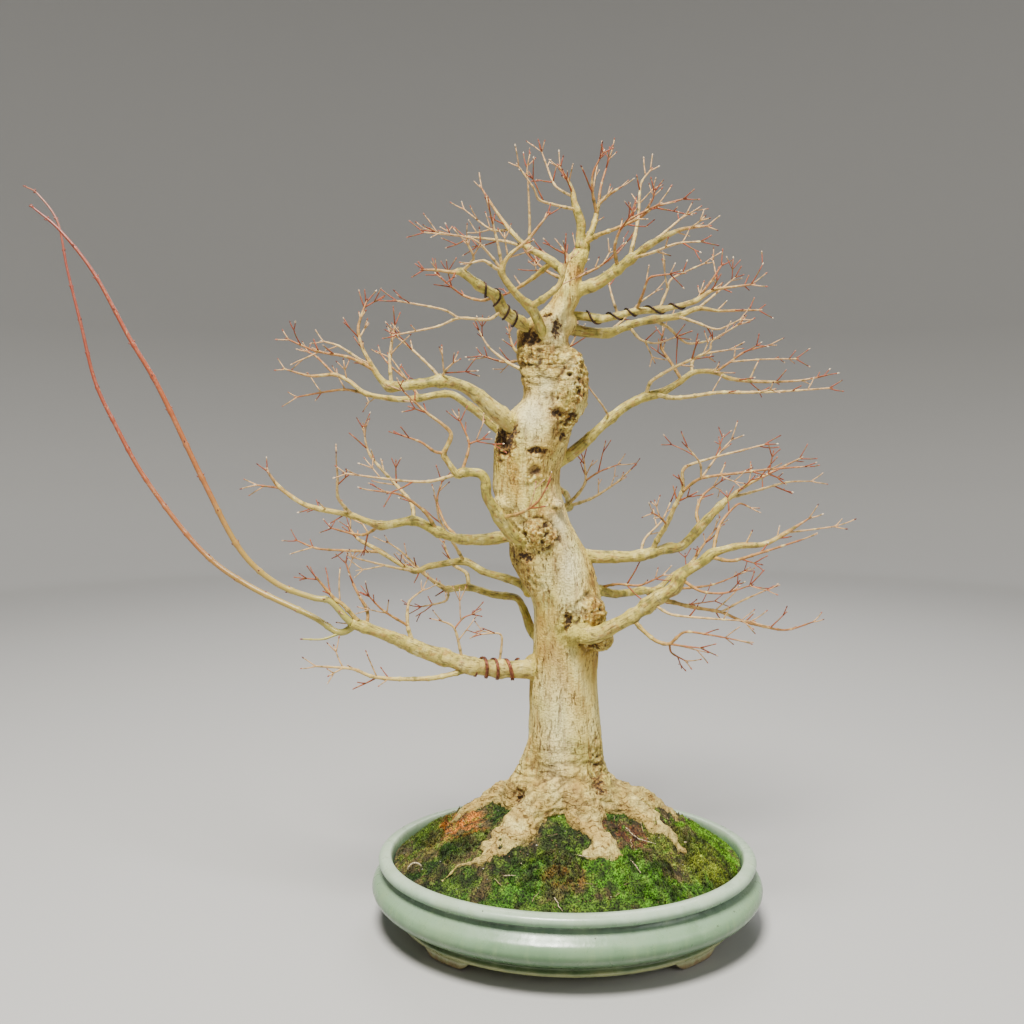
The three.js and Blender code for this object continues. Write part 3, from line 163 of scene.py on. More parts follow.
# Limbs and their side shoots, from the trunk out: X, Y, height above the tree's base line, and radius.
LIMBS = {
    "low_left_limb": (
        [[-23, 0, 155, 10], [-43, -8, 157, 9.6], [-71, -15, 158, 9], [-108, -25, 166, 8.4],
         [-143, -35, 180, 7.4], [-173, -42, 194, 6.4], [-198, -48, 206, 5.8], [-221, -52, 215, 5]],
        [
            [[-215, -52, 217, 2.6], [-229, -55, 234, 2.2], [-238, -56, 241, 1.9], [-255, -60, 263, 1.1]],
            [[-206, -50, 212, 2], [-206, -45, 225, 1.7], [-220, -38, 250, 1.3], [-230, -30, 274, 0.8]],
            [[-160, -40, 191, 2.6], [-166, -36, 209, 2], [-165, -30, 232, 1.4], [-151, -24, 244, 0.8]],
            [[-166, -36, 209, 1.6], [-189, -50, 227, 1.2], [-203, -58, 244, 0.8]],
            [[-110, -25, 169, 1.8], [-118, -32, 205, 1.3], [-132, -36, 214, 0.9]],
            [[-118, -32, 205, 1.1], [-109, -26, 215, 0.9], [-99, -20, 218, 0.7]],
            [[-72, -15, 163, 1.6], [-70, -22, 196, 1.1], [-92, -28, 198, 0.8]],
            [[-102, -27, 161, 3.4], [-121, -32, 157, 3], [-143, -38, 154, 2.7], [-180, -48, 156, 2.2],
             [-202, -56, 161, 1.9], [-220, -62, 170, 1.6], [-255, -72, 175, 1]],
        ],
    ),
    "long_shoot_upper": (
        [[-227, -54, 221, 3.6], [-242, -56, 238, 3.2], [-260, -58, 242, 3], [-296, -62, 258, 2.9],
         [-329, -66, 292, 2.8], [-361, -70, 358, 2.6], [-402, -72, 450, 2.4], [-429, -72, 498, 2.1],
         [-462, -70, 560, 1.7], [-494, -68, 601, 1.4], [-521, -66, 624, 0.9]],
        [],
    ),
    "long_shoot_lower": (
        [[-221, -48, 210, 4], [-236, -46, 204, 3.4], [-263, -40, 219, 3.1], [-334, -28, 251, 3],
         [-385, -18, 288, 2.7], [-440, -8, 357, 2.4], [-473, -2, 415, 2.2], [-494, 2, 460, 1.9],
         [-508, 6, 518, 1.6], [-522, 10, 576, 1.3], [-532, 14, 625, 1.1], [-553, 18, 654, 0.9],
         [-566, 20, 662, 0.7]],
        [
            [[-234, -47, 203, 1.4], [-251, -52, 198, 1.1], [-270, -56, 199, 0.8]],
        ],
    ),
    "low_back_left_limb": (
        [[-28, 16, 182, 5], [-38, 30, 192, 4.9], [-45, 40, 210, 4.7], [-54, 50, 223, 4.4],
         [-80, 66, 224, 4.1], [-108, 80, 230, 3.6], [-132, 90, 226, 3], [-144, 96, 230, 2.4],
         [-164, 104, 244, 1.6], [-180, 110, 255, 1]],
        [
            [[-108, 80, 230, 2.8], [-111, 88, 245, 2.3], [-128, 96, 255, 1.8], [-138, 106, 278, 1]],
            [[-132, 90, 226, 2], [-155, 84, 242, 1.5], [-183, 78, 270, 1.1], [-199, 76, 282, 0.8]],
            [[-132, 92, 228, 1.8], [-136, 110, 209, 1.4], [-168, 130, 198, 0.9]],
        ],
    ),
    "back_left_limb": (
        [[-39, 10, 237, 5.2], [-51, 30, 243, 4.6], [-89, 50, 252, 4.2], [-112, 60, 262, 3.8],
         [-151, 68, 256, 3.2], [-170, 70, 250, 2.9], [-208, 84, 270, 2.4], [-235, 96, 283, 1.8],
         [-248, 104, 297, 1.1]],
        [
            [[-208, 84, 270, 2], [-241, 86, 271, 1.6], [-281, 90, 273, 1.3], [-307, 96, 282, 0.9]],
            [[-112, 60, 262, 2.4], [-121, 46, 281, 1.8], [-137, 36, 310, 1.3], [-141, 30, 332, 0.8]],
            [[-170, 70, 250, 1.8], [-193, 60, 256, 1.4], [-232, 52, 267, 0.9]],
        ],
    ),
    "middle_left_limb": (
        [[-50, -8, 297, 6.6], [-63, -14, 299, 6.2], [-87, -20, 296, 5.6], [-112, -26, 297, 5.2],
         [-134, -31, 305, 4.8], [-159, -36, 317, 4.4], [-192, -42, 313, 3.7], [-222, -47, 324, 3],
         [-264, -53, 334, 2.4], [-291, -55, 353, 1.7], [-303, -56, 370, 1]],
        [
            [[-159, -36, 317, 2.6], [-164, -24, 337, 2], [-206, -6, 382, 1.4], [-214, 0, 412, 0.8]],
            [[-219, -46, 323, 2], [-231, -62, 342, 1.6], [-230, -70, 364, 1.3], [-230, -75, 377, 0.8]],
            [[-291, -55, 352, 1.3], [-313, -58, 355, 0.8]],
            [[-134, -31, 305, 2.2], [-148, -44, 328, 1.7], [-170, -56, 345, 1.2], [-197, -64, 350, 0.8]],
            [[-112, -26, 297, 2], [-128, -6, 310, 1.6], [-138, 8, 334, 1.2], [-133, 14, 355, 0.8]],
            [[-192, -42, 313, 2], [-214, -22, 301, 1.5], [-249, -8, 307, 0.9]],
        ],
    ),
    "rising_left_limb": (
        [[-42, -20, 294, 6.6], [-59, -40, 303, 6], [-74, -52, 327, 5.6], [-84, -58, 344, 5.1],
         [-85, -62, 360, 4.9], [-91, -64, 367, 4.7], [-107, -67, 368, 4.2], [-113, -69, 366, 3.6],
         [-123, -74, 381, 2.6], [-125, -76, 387, 2.3], [-118, -80, 407, 1.7], [-143, -84, 428, 1.3],
         [-165, -88, 449, 0.8]],
        [
            [[-125, -76, 387, 1.8], [-134, -82, 389, 1.5], [-146, -88, 398, 1.2], [-165, -92, 405, 0.8]],
            [[-67, -50, 322, 2.2], [-49, -66, 328, 1.7], [-33, -76, 340, 1.2], [-24, -80, 356, 0.8]],
            [[-113, -69, 366, 2], [-138, -82, 360, 1.5], [-163, -92, 361, 1.2], [-217, -108, 369, 0.8]],
            [[-107, -66, 371, 1.8], [-101, -62, 396, 1.2], [-111, -60, 421, 0.8]],
            [[-101, -62, 396, 1.1], [-87, -64, 401, 0.8]],
        ],
    ),
    "upper_left_limb": (
        [[-48, -12, 406, 9.8], [-63, -24, 418, 9.2], [-78, -34, 430, 8.2], [-90, -40, 442, 7.2],
         [-106, -44, 452, 6.2], [-130, -48, 458, 5.4], [-152, -51, 455, 4.9], [-178, -54, 452, 4.2],
         [-188, -56, 459, 3], [-194, -57, 468, 2.4], [-206, -56, 490, 1.8], [-210, -54, 510, 1.4],
         [-202, -50, 537, 0.8]],
        [
            [[-194, -57, 468, 1.8], [-217, -66, 480, 1.5], [-249, -74, 486, 1.2], [-275, -78, 497, 0.8]],
            [[-178, -54, 452, 2.2], [-180, -48, 483, 1.5], [-175, -44, 514, 0.8]],
            [[-130, -48, 460, 1.9], [-139, -40, 471, 1.5], [-158, -30, 489, 1.2], [-175, -24, 503, 0.8]],
            [[-130, -48, 460, 1.6], [-123, -58, 469, 1.2], [-115, -64, 476, 0.8]],
            [[-181, -54, 454, 2.2], [-205, -36, 475, 1.6], [-234, -22, 494, 1.2], [-253, -14, 500, 0.8]],
        ],
    ),
    "upper_left_back_limb": (
        [[-54, 8, 400, 6], [-68, 10, 407, 5.4], [-102, 16, 433, 4.6], [-124, 21, 447, 4.1],
         [-158, 30, 443, 3.4], [-185, 38, 442, 3], [-217, 46, 448, 2.6], [-235, 50, 461, 2.2],
         [-253, 54, 469, 1.8], [-281, 60, 468, 1.4], [-311, 66, 476, 0.8]],
        [
            [[-217, 46, 448, 1.8], [-242, 58, 453, 1.5], [-270, 68, 450, 1.2], [-300, 76, 445, 0.8]],
            [[-158, 30, 443, 2], [-172, 52, 462, 1.5], [-192, 70, 478, 1.1], [-206, 80, 494, 0.8]],
            [[-253, 54, 469, 1.4], [-273, 66, 488, 1.1], [-287, 74, 496, 0.8]],
        ],
    ),
    "crown_left_limb": (
        [[-24, -2, 507, 7], [-38, -12, 512, 6.6], [-56, -24, 521, 6], [-68, -32, 530, 5.6],
         [-74, -38, 542, 5.2], [-89, -44, 550, 4.8], [-99, -48, 558, 4.4], [-109, -50, 565, 3.6],
         [-117, -53, 564, 1.8], [-132, -58, 565, 1.3], [-146, -62, 565, 0.8]],
        [
            [[-68, -32, 530, 2], [-82, -44, 519, 1.6], [-111, -56, 519, 1.4], [-132, -64, 510, 1.1],
             [-171, -76, 501, 0.8]],
            [[-111, -56, 519, 1.3], [-127, -62, 527, 1.1], [-171, -74, 534, 0.8]],
            [[-74, -38, 542, 1.8], [-90, -24, 540, 1.5], [-111, -10, 548, 1.2], [-137, 2, 570, 0.8]],
            [[-108, -50, 565, 2], [-96, -60, 576, 1.4], [-103, -70, 591, 0.9]],
        ],
    ),
    "crown_front_limb": (
        [[-19, -10, 496, 5.6], [-26, -22, 503, 5.2], [-33, -32, 520, 4.8], [-40, -38, 532, 4.4],
         [-52, -46, 541, 3.8], [-63, -52, 553, 3.2], [-69, -56, 565, 2.6], [-61, -60, 579, 2],
         [-43, -62, 594, 1.5], [-23, -64, 618, 0.8]],
        [
            [[-40, -38, 532, 4], [-26, -46, 540, 3.6], [-12, -48, 552, 3], [-7, -48, 568, 2.4],
             [-4, -46, 579, 1.6], [-10, -44, 590, 1]],
            [[-69, -56, 565, 2.2], [-75, -60, 567, 1.9], [-86, -66, 573, 1.5], [-99, -70, 570, 0.8]],
            [[-68, -56, 567, 1.8], [-73, -64, 592, 1.3], [-81, -70, 623, 0.8]],
            [[-68, -56, 565, 1.6], [-83, -66, 582, 1.2], [-97, -76, 592, 0.9], [-133, -86, 597, 0.7]],
        ],
    ),
    "crown_back_left_limb": (
        [[-2, 8, 570, 4.6], [-8, 12, 577, 4.4], [-21, 18, 588, 3.8], [-41, 26, 600, 3],
         [-61, 36, 621, 2.2], [-76, 42, 642, 1.5], [-92, 46, 668, 0.8]],
        [
            [[-17, 16, 584, 3.4], [-28, 26, 576, 3], [-34, 34, 572, 2.6], [-51, 46, 562, 1.9],
             [-68, 58, 555, 1.1]],
            [[-41, 26, 600, 2.2], [-66, 42, 610, 1.6], [-104, 56, 617, 1.2], [-156, 66, 624, 0.7]],
            [[-41, 26, 601, 2], [-40, 22, 622, 1.4], [-41, 16, 647, 1.1], [-43, 10, 680, 0.7]],
            [[-61, 36, 621, 1.6], [-82, 60, 626, 1.2], [-112, 76, 651, 0.7]],
        ],
    ),
    "crown_leader": (
        [[10, -5, 585, 6.2], [14, -4, 594, 6], [12, -5, 606, 4.4], [12, -8, 620, 3.6],
         [5, -10, 638, 2.8], [3, -10, 650, 2.2], [-1, -12, 660, 1.6], [-11, -14, 675, 0.8]],
        [
            [[7, -9, 633, 1.9], [-10, -20, 634, 1.5], [-31, -30, 638, 1.3], [-37, -36, 648, 1.1],
             [-53, -42, 669, 0.8]],
            [[4, -10, 645, 1.6], [-14, 6, 660, 1.2], [-23, 16, 684, 0.9], [-28, 20, 699, 0.7]],
            [[14, -4, 599, 4], [23, 2, 612, 3.4], [28, 8, 628, 2.8], [31, 12, 642, 2.3],
             [42, 16, 653, 1.8], [56, 18, 662, 0.9]],
            [[29, 9, 633, 1.9], [24, 0, 652, 1.5], [24, -6, 670, 1.1], [34, -10, 690, 0.7]],
            [[31, 12, 640, 1.7], [35, 26, 665, 1.2], [45, 36, 697, 0.7]],
            [[16, -6, 600, 3], [29, -18, 606, 2.4], [47, -28, 611, 1.9], [69, -36, 620, 1.5],
             [82, -40, 629, 1.2], [111, -46, 636, 0.8]],
            [[69, -36, 620, 1.2], [79, -46, 634, 0.9], [81, -50, 643, 0.7]],
        ],
    ),
    "crown_right_limb": (
        [[-1, -2, 548, 7.6], [11, -6, 553, 6.8], [31, -12, 560, 5.8], [49, -18, 572, 5.2],
         [62, -22, 582, 4.4], [80, -26, 595, 3.2], [107, -30, 608, 2], [122, -32, 611, 1.4],
         [138, -34, 612, 0.8]],
        [
            [[60, -21, 581, 2.6], [66, -10, 603, 2], [71, -2, 627, 1.6], [74, 4, 661, 1.2],
             [85, 8, 677, 0.8]],
            [[62, -22, 582, 2], [79, -42, 584, 1.5], [102, -56, 591, 1.1], [126, -62, 592, 0.8]],
            [[49, -18, 572, 2.2], [44, -34, 592, 1.6], [53, -44, 613, 1.2], [86, -52, 630, 0.8]],
            [[80, -26, 596, 1.8], [97, -8, 610, 1.4], [123, 6, 633, 0.8]],
        ],
    ),
    "wired_right_front_limb": (
        [[-14, 4, 524, 5], [0, 6, 528, 4.7], [18, 4, 527, 4.3], [34, 0, 524, 4], [51, -4, 527, 3.8],
         [69, -8, 531, 3.5], [92, -12, 532, 3.1], [110, -16, 535, 2.7], [128, -20, 540, 2.2],
         [144, -24, 550, 1.8], [164, -28, 553, 1.3], [183, -32, 555, 0.8]],
        [
            [[69, -8, 531, 1.9], [74, -24, 547, 1.4], [79, -36, 561, 1.1], [99, -48, 563, 0.8]],
            [[92, -12, 532, 1.8], [102, 2, 553, 1.4], [109, 12, 567, 1.1], [146, 26, 585, 0.8]],
            [[128, -20, 540, 1.6], [145, -6, 560, 1.2], [159, 4, 580, 0.8]],
            [[51, -4, 527, 1.7], [47, 14, 546, 1.2], [44, 24, 562, 0.8]],
        ],
    ),
    "wired_right_back_limb": (
        [[-13, 6, 516, 6.6], [0, 14, 516, 6.2], [19, 20, 512, 5.6], [44, 26, 512, 5],
         [66, 32, 520, 4.4], [92, 38, 527, 3.8], [120, 44, 531, 3], [143, 50, 540, 2.4],
         [167, 56, 538, 1.7], [191, 60, 539, 1.2], [214, 64, 540, 0.8]],
        [
            [[92, 38, 527, 2.2], [111, 52, 520, 1.7], [134, 64, 504, 1.3], [164, 76, 509, 1],
             [199, 88, 528, 0.7]],
            [[120, 44, 531, 1.9], [138, 30, 523, 1.5], [159, 20, 515, 1.1], [182, 12, 525, 0.8]],
            [[66, 32, 520, 2], [77, 22, 505, 1.5], [93, 14, 500, 1.1], [113, 8, 506, 0.8]],
            [[44, 26, 512, 1.9], [61, 48, 527, 1.4], [82, 66, 548, 1], [101, 76, 562, 0.7]],
            [[143, 50, 540, 1.6], [163, 66, 556, 1.2], [190, 78, 578, 0.7]],
        ],
    ),
    "upper_right_limb": (
        [[-21, 6, 370, 6.6], [-6, 10, 377, 6.2], [13, 14, 391, 5.7], [35, 19, 411, 5.3],
         [60, 24, 432, 4.9], [83, 28, 444, 4.6], [102, 31, 449, 3.8], [121, 34, 460, 3.3],
         [135, 36, 470, 2.9], [147, 38, 472, 2.6], [161, 40, 471, 2.3], [175, 43, 465, 2],
         [195, 46, 462, 1.8], [227, 50, 461, 1.5], [259, 54, 463, 1.1], [285, 58, 468, 0.8]],
        [
            [[95, 30, 447, 3], [111, 18, 443, 2.5], [129, 10, 444, 2.2], [156, 2, 448, 1.9],
             [186, -6, 448, 1.6], [223, -14, 449, 1.2], [267, -22, 452, 0.8]],
            [[85, 28, 446, 2.4], [89, 20, 460, 2], [109, 12, 473, 1.7], [128, 6, 482, 1.5],
             [147, 2, 492, 1.2], [150, 0, 502, 1], [176, -6, 518, 0.7]],
            [[124, 34, 462, 2], [115, 46, 480, 1.7], [104, 54, 499, 1.4], [107, 58, 516, 0.9]],
            [[161, 40, 471, 1.6], [180, 54, 483, 1.3], [199, 64, 495, 1.1], [229, 74, 503, 0.7]],
            [[135, 36, 470, 2], [138, 48, 484, 1.6], [154, 58, 492, 1.3], [182, 66, 497, 0.8]],
            [[180, 54, 483, 1.1], [217, 60, 486, 0.9], [256, 66, 487, 0.7]],
            [[46, 21, 421, 1.5], [36, 4, 435, 1.1], [22, -6, 452, 0.8], [14, -10, 465, 0.7]],
        ],
    ),
    "middle_right_limb": (
        [[1, 2, 275, 7.6], [18, 4, 276, 7], [43, 6, 274, 6.4], [69, 8, 275, 6], [89, 9, 278, 5.6],
         [108, 10, 283, 5.1], [123, 11, 286, 4.7], [144, 13, 307, 4.3], [166, 15, 331, 3.4],
         [178, 17, 340, 2.4], [196, 20, 352, 1.8], [216, 22, 362, 1.4], [252, 26, 379, 0.8]],
        [
            [[90, 9, 279, 3.2], [96, 4, 294, 3], [104, -4, 310, 2.7], [111, -12, 330, 2.4],
             [118, -18, 348, 2.1], [118, -24, 370, 1.7], [146, -30, 381, 1.3], [198, -38, 395, 0.8]],
            [[118, -18, 346, 1.9], [135, -28, 360, 1.6], [173, -36, 366, 1.3], [202, -42, 370, 1.1],
             [237, -48, 373, 0.7]],
            [[135, -28, 360, 1.3], [132, -36, 376, 1.1], [117, -44, 393, 0.7]],
            [[135, -28, 360, 1.2], [153, -20, 383, 1], [169, -14, 400, 0.7]],
            [[171, 16, 336, 2], [200, 28, 342, 1.6], [240, 38, 352, 1.1], [270, 44, 353, 0.7]],
            [[142, 13, 305, 2.2], [141, 28, 320, 1.8], [150, 40, 338, 1.4], [172, 50, 353, 0.8]],
            [[104, -4, 310, 1.5], [95, -16, 319, 1.1], [86, -24, 324, 0.7]],
            [[78, 8, 276, 1.6], [85, 24, 292, 1.3], [105, 38, 310, 1], [116, 46, 331, 0.7]],
        ],
    ),
    "low_right_limb": (
        [[3, -34, 203, 9.4], [19, -42, 200, 8.6], [33, -48, 204, 7.6], [54, -54, 217, 7],
         [76, -60, 233, 6.5], [89, -63, 243, 6.2], [103, -66, 253, 5.8], [110, -68, 267, 5.3],
         [129, -71, 279, 4.8], [140, -73, 289, 4.2], [163, -76, 296, 3.4], [187, -80, 298, 2.4],
         [208, -84, 310, 1.7], [230, -88, 325, 0.8]],
        [
            [[61, -56, 223, 2.8], [70, -64, 212, 2.4], [84, -72, 201, 2.1], [97, -78, 199, 1.8],
             [111, -84, 212, 1.4], [137, -90, 210, 1], [161, -94, 206, 0.7]],
            [[97, -78, 199, 1.4], [110, -84, 198, 1.1], [127, -88, 197, 0.7]],
            [[97, -78, 199, 1.3], [100, -74, 189, 1], [115, -72, 180, 0.7]],
            [[91, -62, 241, 2.6], [122, -50, 231, 2], [155, -42, 224, 1.8], [180, -36, 213, 1.5],
             [223, -30, 203, 1.2], [255, -26, 211, 0.8]],
            [[155, -42, 224, 1.4], [174, -50, 237, 1.1], [197, -56, 249, 0.7]],
            [[82, -61, 237, 1.8], [99, -76, 228, 1.4], [138, -88, 226, 1.1], [175, -96, 225, 0.7]],
            [[140, -73, 289, 2.2], [144, -62, 301, 1.8], [152, -52, 318, 1.4], [170, -44, 335, 1.1],
             [185, -40, 330, 0.7]],
            [[136, -72, 285, 2.2], [155, -88, 283, 1.7], [180, -98, 292, 1.4], [218, -106, 306, 0.8]],
            [[208, -84, 310, 1.2], [231, -78, 312, 0.9], [260, -72, 315, 0.7]],
            [[112, -68, 260, 1.8], [126, -88, 253, 1.4], [146, -98, 253, 1.1], [170, -106, 262, 0.7]],
        ],
    ),
    "low_back_right_limb": (
        [[25, 14, 239, 5.4], [39, 24, 235, 4.9], [55, 34, 230, 4.4], [86, 50, 231, 3.9],
         [104, 60, 231, 3.4], [122, 72, 244, 2.8], [145, 84, 256, 2.2], [158, 94, 272, 1.5],
         [177, 104, 294, 0.8]],
        [
            [[37, 24, 239, 1.8], [55, 14, 244, 1.5], [78, 6, 244, 1.2], [102, 0, 256, 0.8]],
            [[104, 60, 231, 2.2], [132, 76, 229, 1.7], [171, 90, 231, 1.2], [208, 100, 243, 0.7]],
            [[86, 50, 231, 1.9], [109, 70, 216, 1.5], [139, 90, 208, 1.1], [179, 104, 210, 0.7]],
        ],
    ),
    "back_middle_limb": (
        [[-22, 6, 300, 6], [-18, 34, 306, 5.6], [-6, 62, 318, 4.9], [6, 88, 322, 4], [4, 112, 334, 3],
         [-8, 134, 346, 2], [-14, 150, 362, 1]],
        [
            [[-6, 62, 318, 2.6], [14, 66, 336, 2.1], [24, 72, 352, 1.6], [22, 78, 378, 0.9]],
            [[24, 72, 352, 1.4], [40, 76, 362, 1.1], [62, 80, 370, 0.7]],
            [[6, 88, 322, 2.4], [34, 104, 330, 1.8], [62, 120, 346, 1.2], [82, 132, 362, 0.8]],
            [[4, 112, 334, 2], [-26, 118, 348, 1.5], [-48, 126, 366, 0.9]],
        ],
    ),
    "back_upper_limb": (
        [[-26, 4, 452, 6], [-32, 30, 458, 5.6], [-38, 54, 470, 4.8], [-34, 78, 476, 3.9],
         [-42, 102, 488, 2.9], [-56, 122, 502, 1.9], [-62, 138, 520, 0.9]],
        [
            [[-38, 54, 470, 2.4], [-62, 64, 482, 1.8], [-84, 74, 500, 1.2], [-96, 80, 520, 0.8]],
            [[-34, 78, 476, 2.3], [-12, 92, 488, 1.7], [8, 106, 504, 1.2], [18, 116, 524, 0.8]],
            [[-42, 102, 488, 1.9], [-68, 108, 486, 1.4], [-94, 114, 494, 0.9]],
        ],
    ),
    "crown_back_limb": (
        [[0, 2, 548, 6], [4, 24, 556, 5.4], [2, 44, 568, 4.6], [10, 64, 574, 3.7], [8, 84, 586, 2.7],
         [16, 102, 600, 1.7], [14, 116, 616, 0.8]],
        [
            [[2, 44, 568, 2.2], [-20, 54, 580, 1.7], [-40, 62, 598, 1.1], [-50, 70, 614, 0.7]],
            [[10, 64, 574, 2], [34, 72, 586, 1.5], [56, 80, 602, 1], [70, 86, 618, 0.7]],
            [[8, 84, 586, 1.7], [-10, 96, 598, 1.2], [-26, 106, 612, 0.7]],
        ],
    ),
}


# ---- noise ----
def lattice(cell, seed):
    """A fixed random number from -1 to 1 for each whole-numbered place."""
    mixed = cell[:, 0] * 374761393 + cell[:, 1] * 668265263 + cell[:, 2] * 1440662683 + seed * 97531
    mixed = (mixed ^ (mixed >> 13)) * 1274126177
    mixed = mixed ^ (mixed >> 16)
    return (mixed & 0xFFFF) / 32767.5 - 1


def noise(points, size, seed):
    """Smooth noise from -1 to 1, with lumps about this many millimetres apart."""
    scaled = np.asarray(points, float) / size
    cell = np.floor(scaled).astype(np.int64)
    part = scaled - cell
    part = part * part * (3 - 2 * part)
    total = np.zeros(len(scaled))
    for corner in itertools.product((0, 1), repeat=3):
        weight = np.prod(np.where(corner, part, 1 - part), axis=1)
        total += weight * lattice(cell + np.array(corner), seed)
    return total


def rough_noise(points, size, seed, layers=3):
    """Noise with finer and weaker noise added to it."""
    return sum(noise(points, size / 2**layer, seed + layer) / 2**layer for layer in range(layers))


def bell(distance):
    """1 at no distance, falling smoothly to almost nothing at 2."""
    return np.exp(-(distance**2))


# ---- curves and tubes ----
def unit(vector):
    return vector / np.linalg.norm(vector)


def smooth_path(points, step, slack=0.4):
    """A curve through the points, about a step between its own. Slack 0.5 is smooth and 0 is straight."""
    given = np.array(points, float)
    given = np.vstack([2 * given[0] - given[1], given, 2 * given[-1] - given[-2]])
    stretches = []
    for i in range(1, len(given) - 2):
        before, start, end, after = given[i - 1:i + 3]
        count = max(1, round(np.linalg.norm((end - start)[:3]) / step))
        t = (np.arange(count) / count)[:, None]
        leave = (end - before) * slack
        arrive = (after - start) * slack
        bend = leave * (t**3 - 2 * t**2 + t) + arrive * (t**3 - t**2)
        stretches.append(start * (2 * t**3 - 3 * t**2 + 1) + end * (3 * t**2 - 2 * t**3) + bend)
    return np.vstack([*stretches, given[-2:-1]])


def path_frames(centres):
    """The directions along, across and beside a path at each of its points, without twist."""
    along = np.gradient(centres, axis=0)
    along /= np.linalg.norm(along, axis=1)[:, None]
    across = np.empty_like(along)
    last = UP if abs(along[0][2]) < 0.9 else np.array([1.0, 0.0, 0.0])
    for i, direction in enumerate(along):
        last = unit(last - direction * (last @ direction))
        across[i] = last
    return along, across, np.cross(along, across)


def ring_angles(sides):
    """Evenly spaced angles round a full turn."""
    return np.arange(sides) * FULL_TURN / sides


def ring_directions(angles):
    """X and Y of the directions at these angles."""
    return np.column_stack([np.cos(angles), np.sin(angles)])


def ring_quads(rows, sides):
    """The faces between rings of points that follow one another."""
    near = np.arange(rows - 1)[:, None] * sides + np.arange(sides)
    beside = np.arange(rows - 1)[:, None] * sides + (np.arange(sides) + 1) % sides
    return np.stack([near, beside, beside + sides, near + sides], axis=-1)


def path_lengths(centres):
    """Distance along a path to each of its points."""
    steps = np.linalg.norm(np.diff(centres, axis=0), axis=1)
    return np.concatenate([[0], np.cumsum(steps)])


class Form:
    """Collects closed shapes into one mesh, with a few numbers kept at each of its points."""

    def __init__(self):
        self.points = []
        self.quads = []
        self.triangles = []
        self.values = {}
        self.count = 0

    def add(self, points, quads=(), triangles=(), **values):
        self.points.append(points)
        self.quads.append(np.reshape(quads, (-1, 4)).astype(int) + self.count)
        self.triangles.append(np.reshape(triangles, (-1, 3)).astype(int) + self.count)
        for name, value in values.items():
            value = np.asarray(value, float)
            if value.ndim == 0 or (value.ndim == 1 and len(value) != len(points)):
                value = np.broadcast_to(value, (len(points), *value.shape))
            self.values.setdefault(name, []).append(value)
        self.count += len(points)

    def add_rings(self, rings, **values):
        """A closed body from rings of points of one length, with a point in the middle of each end."""
        rows, sides = rings.shape[:2]
        start = rows * sides
        side = np.arange(sides)
        following = (side + 1) % sides
        last = (rows - 1) * sides
        bottom = np.stack([np.full(sides, start), following, side], axis=-1)
        top = np.stack([np.full(sides, start + 1), last + side, last + following], axis=-1)
        ends = np.stack([rings[0].mean(axis=0), rings[-1].mean(axis=0)])
        points = np.vstack([rings.reshape(-1, 3), ends])
        kept = {}
        for name, value in values.items():
            value = np.asarray(value, float)
            if value.ndim and len(value) == rows:
                each = np.repeat(value, sides, axis=0)
                value = np.concatenate([each, value[:1], value[-1:]])
            kept[name] = value
        self.add(points, ring_quads(rows, sides), np.vstack([bottom, top]), **kept)

    def add_tube(self, path, sides, swell=None, **values):
        """A round tube along X, Y, Z and radius. Its grain is the place across and along the tube."""
        centres = path[:, :3]
        _, across, beside = path_frames(centres)
        angles = ring_angles(sides)
        radii = np.repeat(path[:, 3:4], sides, axis=1)
        lengths = path_lengths(centres)
        if swell is not None:
            radii = radii * (1 + swell(lengths[:, None], angles[None, :]))
        reach_across = (radii * np.cos(angles))[..., None]
        reach_beside = (radii * np.sin(angles))[..., None]
        rings = centres[:, None] + reach_across * across[:, None] + reach_beside * beside[:, None]
        self.add_rings(rings, girth=path[:, 3], **values)
        spread = np.broadcast_to(lengths[:, None, None], (*radii.shape, 1))
        grain = np.concatenate([reach_across, reach_beside, spread], axis=-1).reshape(-1, 3)
        ends = np.array([[0, 0, lengths[0]], [0, 0, lengths[-1]]])
        self.values.setdefault("grain", []).append(np.vstack([grain, ends]))

    def mesh(self, name):
        points = np.vstack(self.points)
        quads = np.vstack(self.quads)
        triangles = np.vstack(self.triangles)
        values = {key: np.concatenate(value) for key, value in self.values.items()}
        return new_mesh(name, points, quads, triangles, values)


def new_mesh(name, points, quads, triangles, values):
    """A Blender mesh from points in millimetres about the pot's middle."""
    mesh = bpy.data.meshes.new(name)
    mesh.vertices.add(len(points))
    placed = np.asarray(points) * MM + POT_MIDDLE
    mesh.vertices.foreach_set("co", placed.astype(np.float32).ravel())
    corners = np.concatenate([quads.ravel(), triangles.ravel()]).astype(np.int32)
    mesh.loops.add(len(corners))
    mesh.loops.foreach_set("vertex_index", corners)
    quad_starts = np.arange(len(quads)) * 4
    triangle_starts = len(quads) * 4 + np.arange(len(triangles)) * 3
    mesh.polygons.add(len(quads) + len(triangles))
    starts = np.concatenate([quad_starts, triangle_starts]).astype(np.int32)
    mesh.polygons.foreach_set("loop_start", starts)
    mesh.update(calc_edges=True)
    keep_values(mesh, values)
    return mesh


def keep_values(mesh, values):
    """Stores numbers, vectors or colours at a mesh's points, for its material to read."""
    for name, value in values.items():
        if value.ndim == 1:
            layer = mesh.attributes.new(name, "FLOAT", "POINT")
            layer.data.foreach_set("value", value.astype(np.float32))
        elif name == "tone":
            layer = mesh.attributes.new(name, "FLOAT_COLOR", "POINT")
            opaque = np.hstack([value, np.ones((len(value), 1))])
            layer.data.foreach_set("color", opaque.astype(np.float32).ravel())
        else:
            layer = mesh.attributes.new(name, "FLOAT_VECTOR", "POINT")
            layer.data.foreach_set("vector", value.astype(np.float32).ravel())


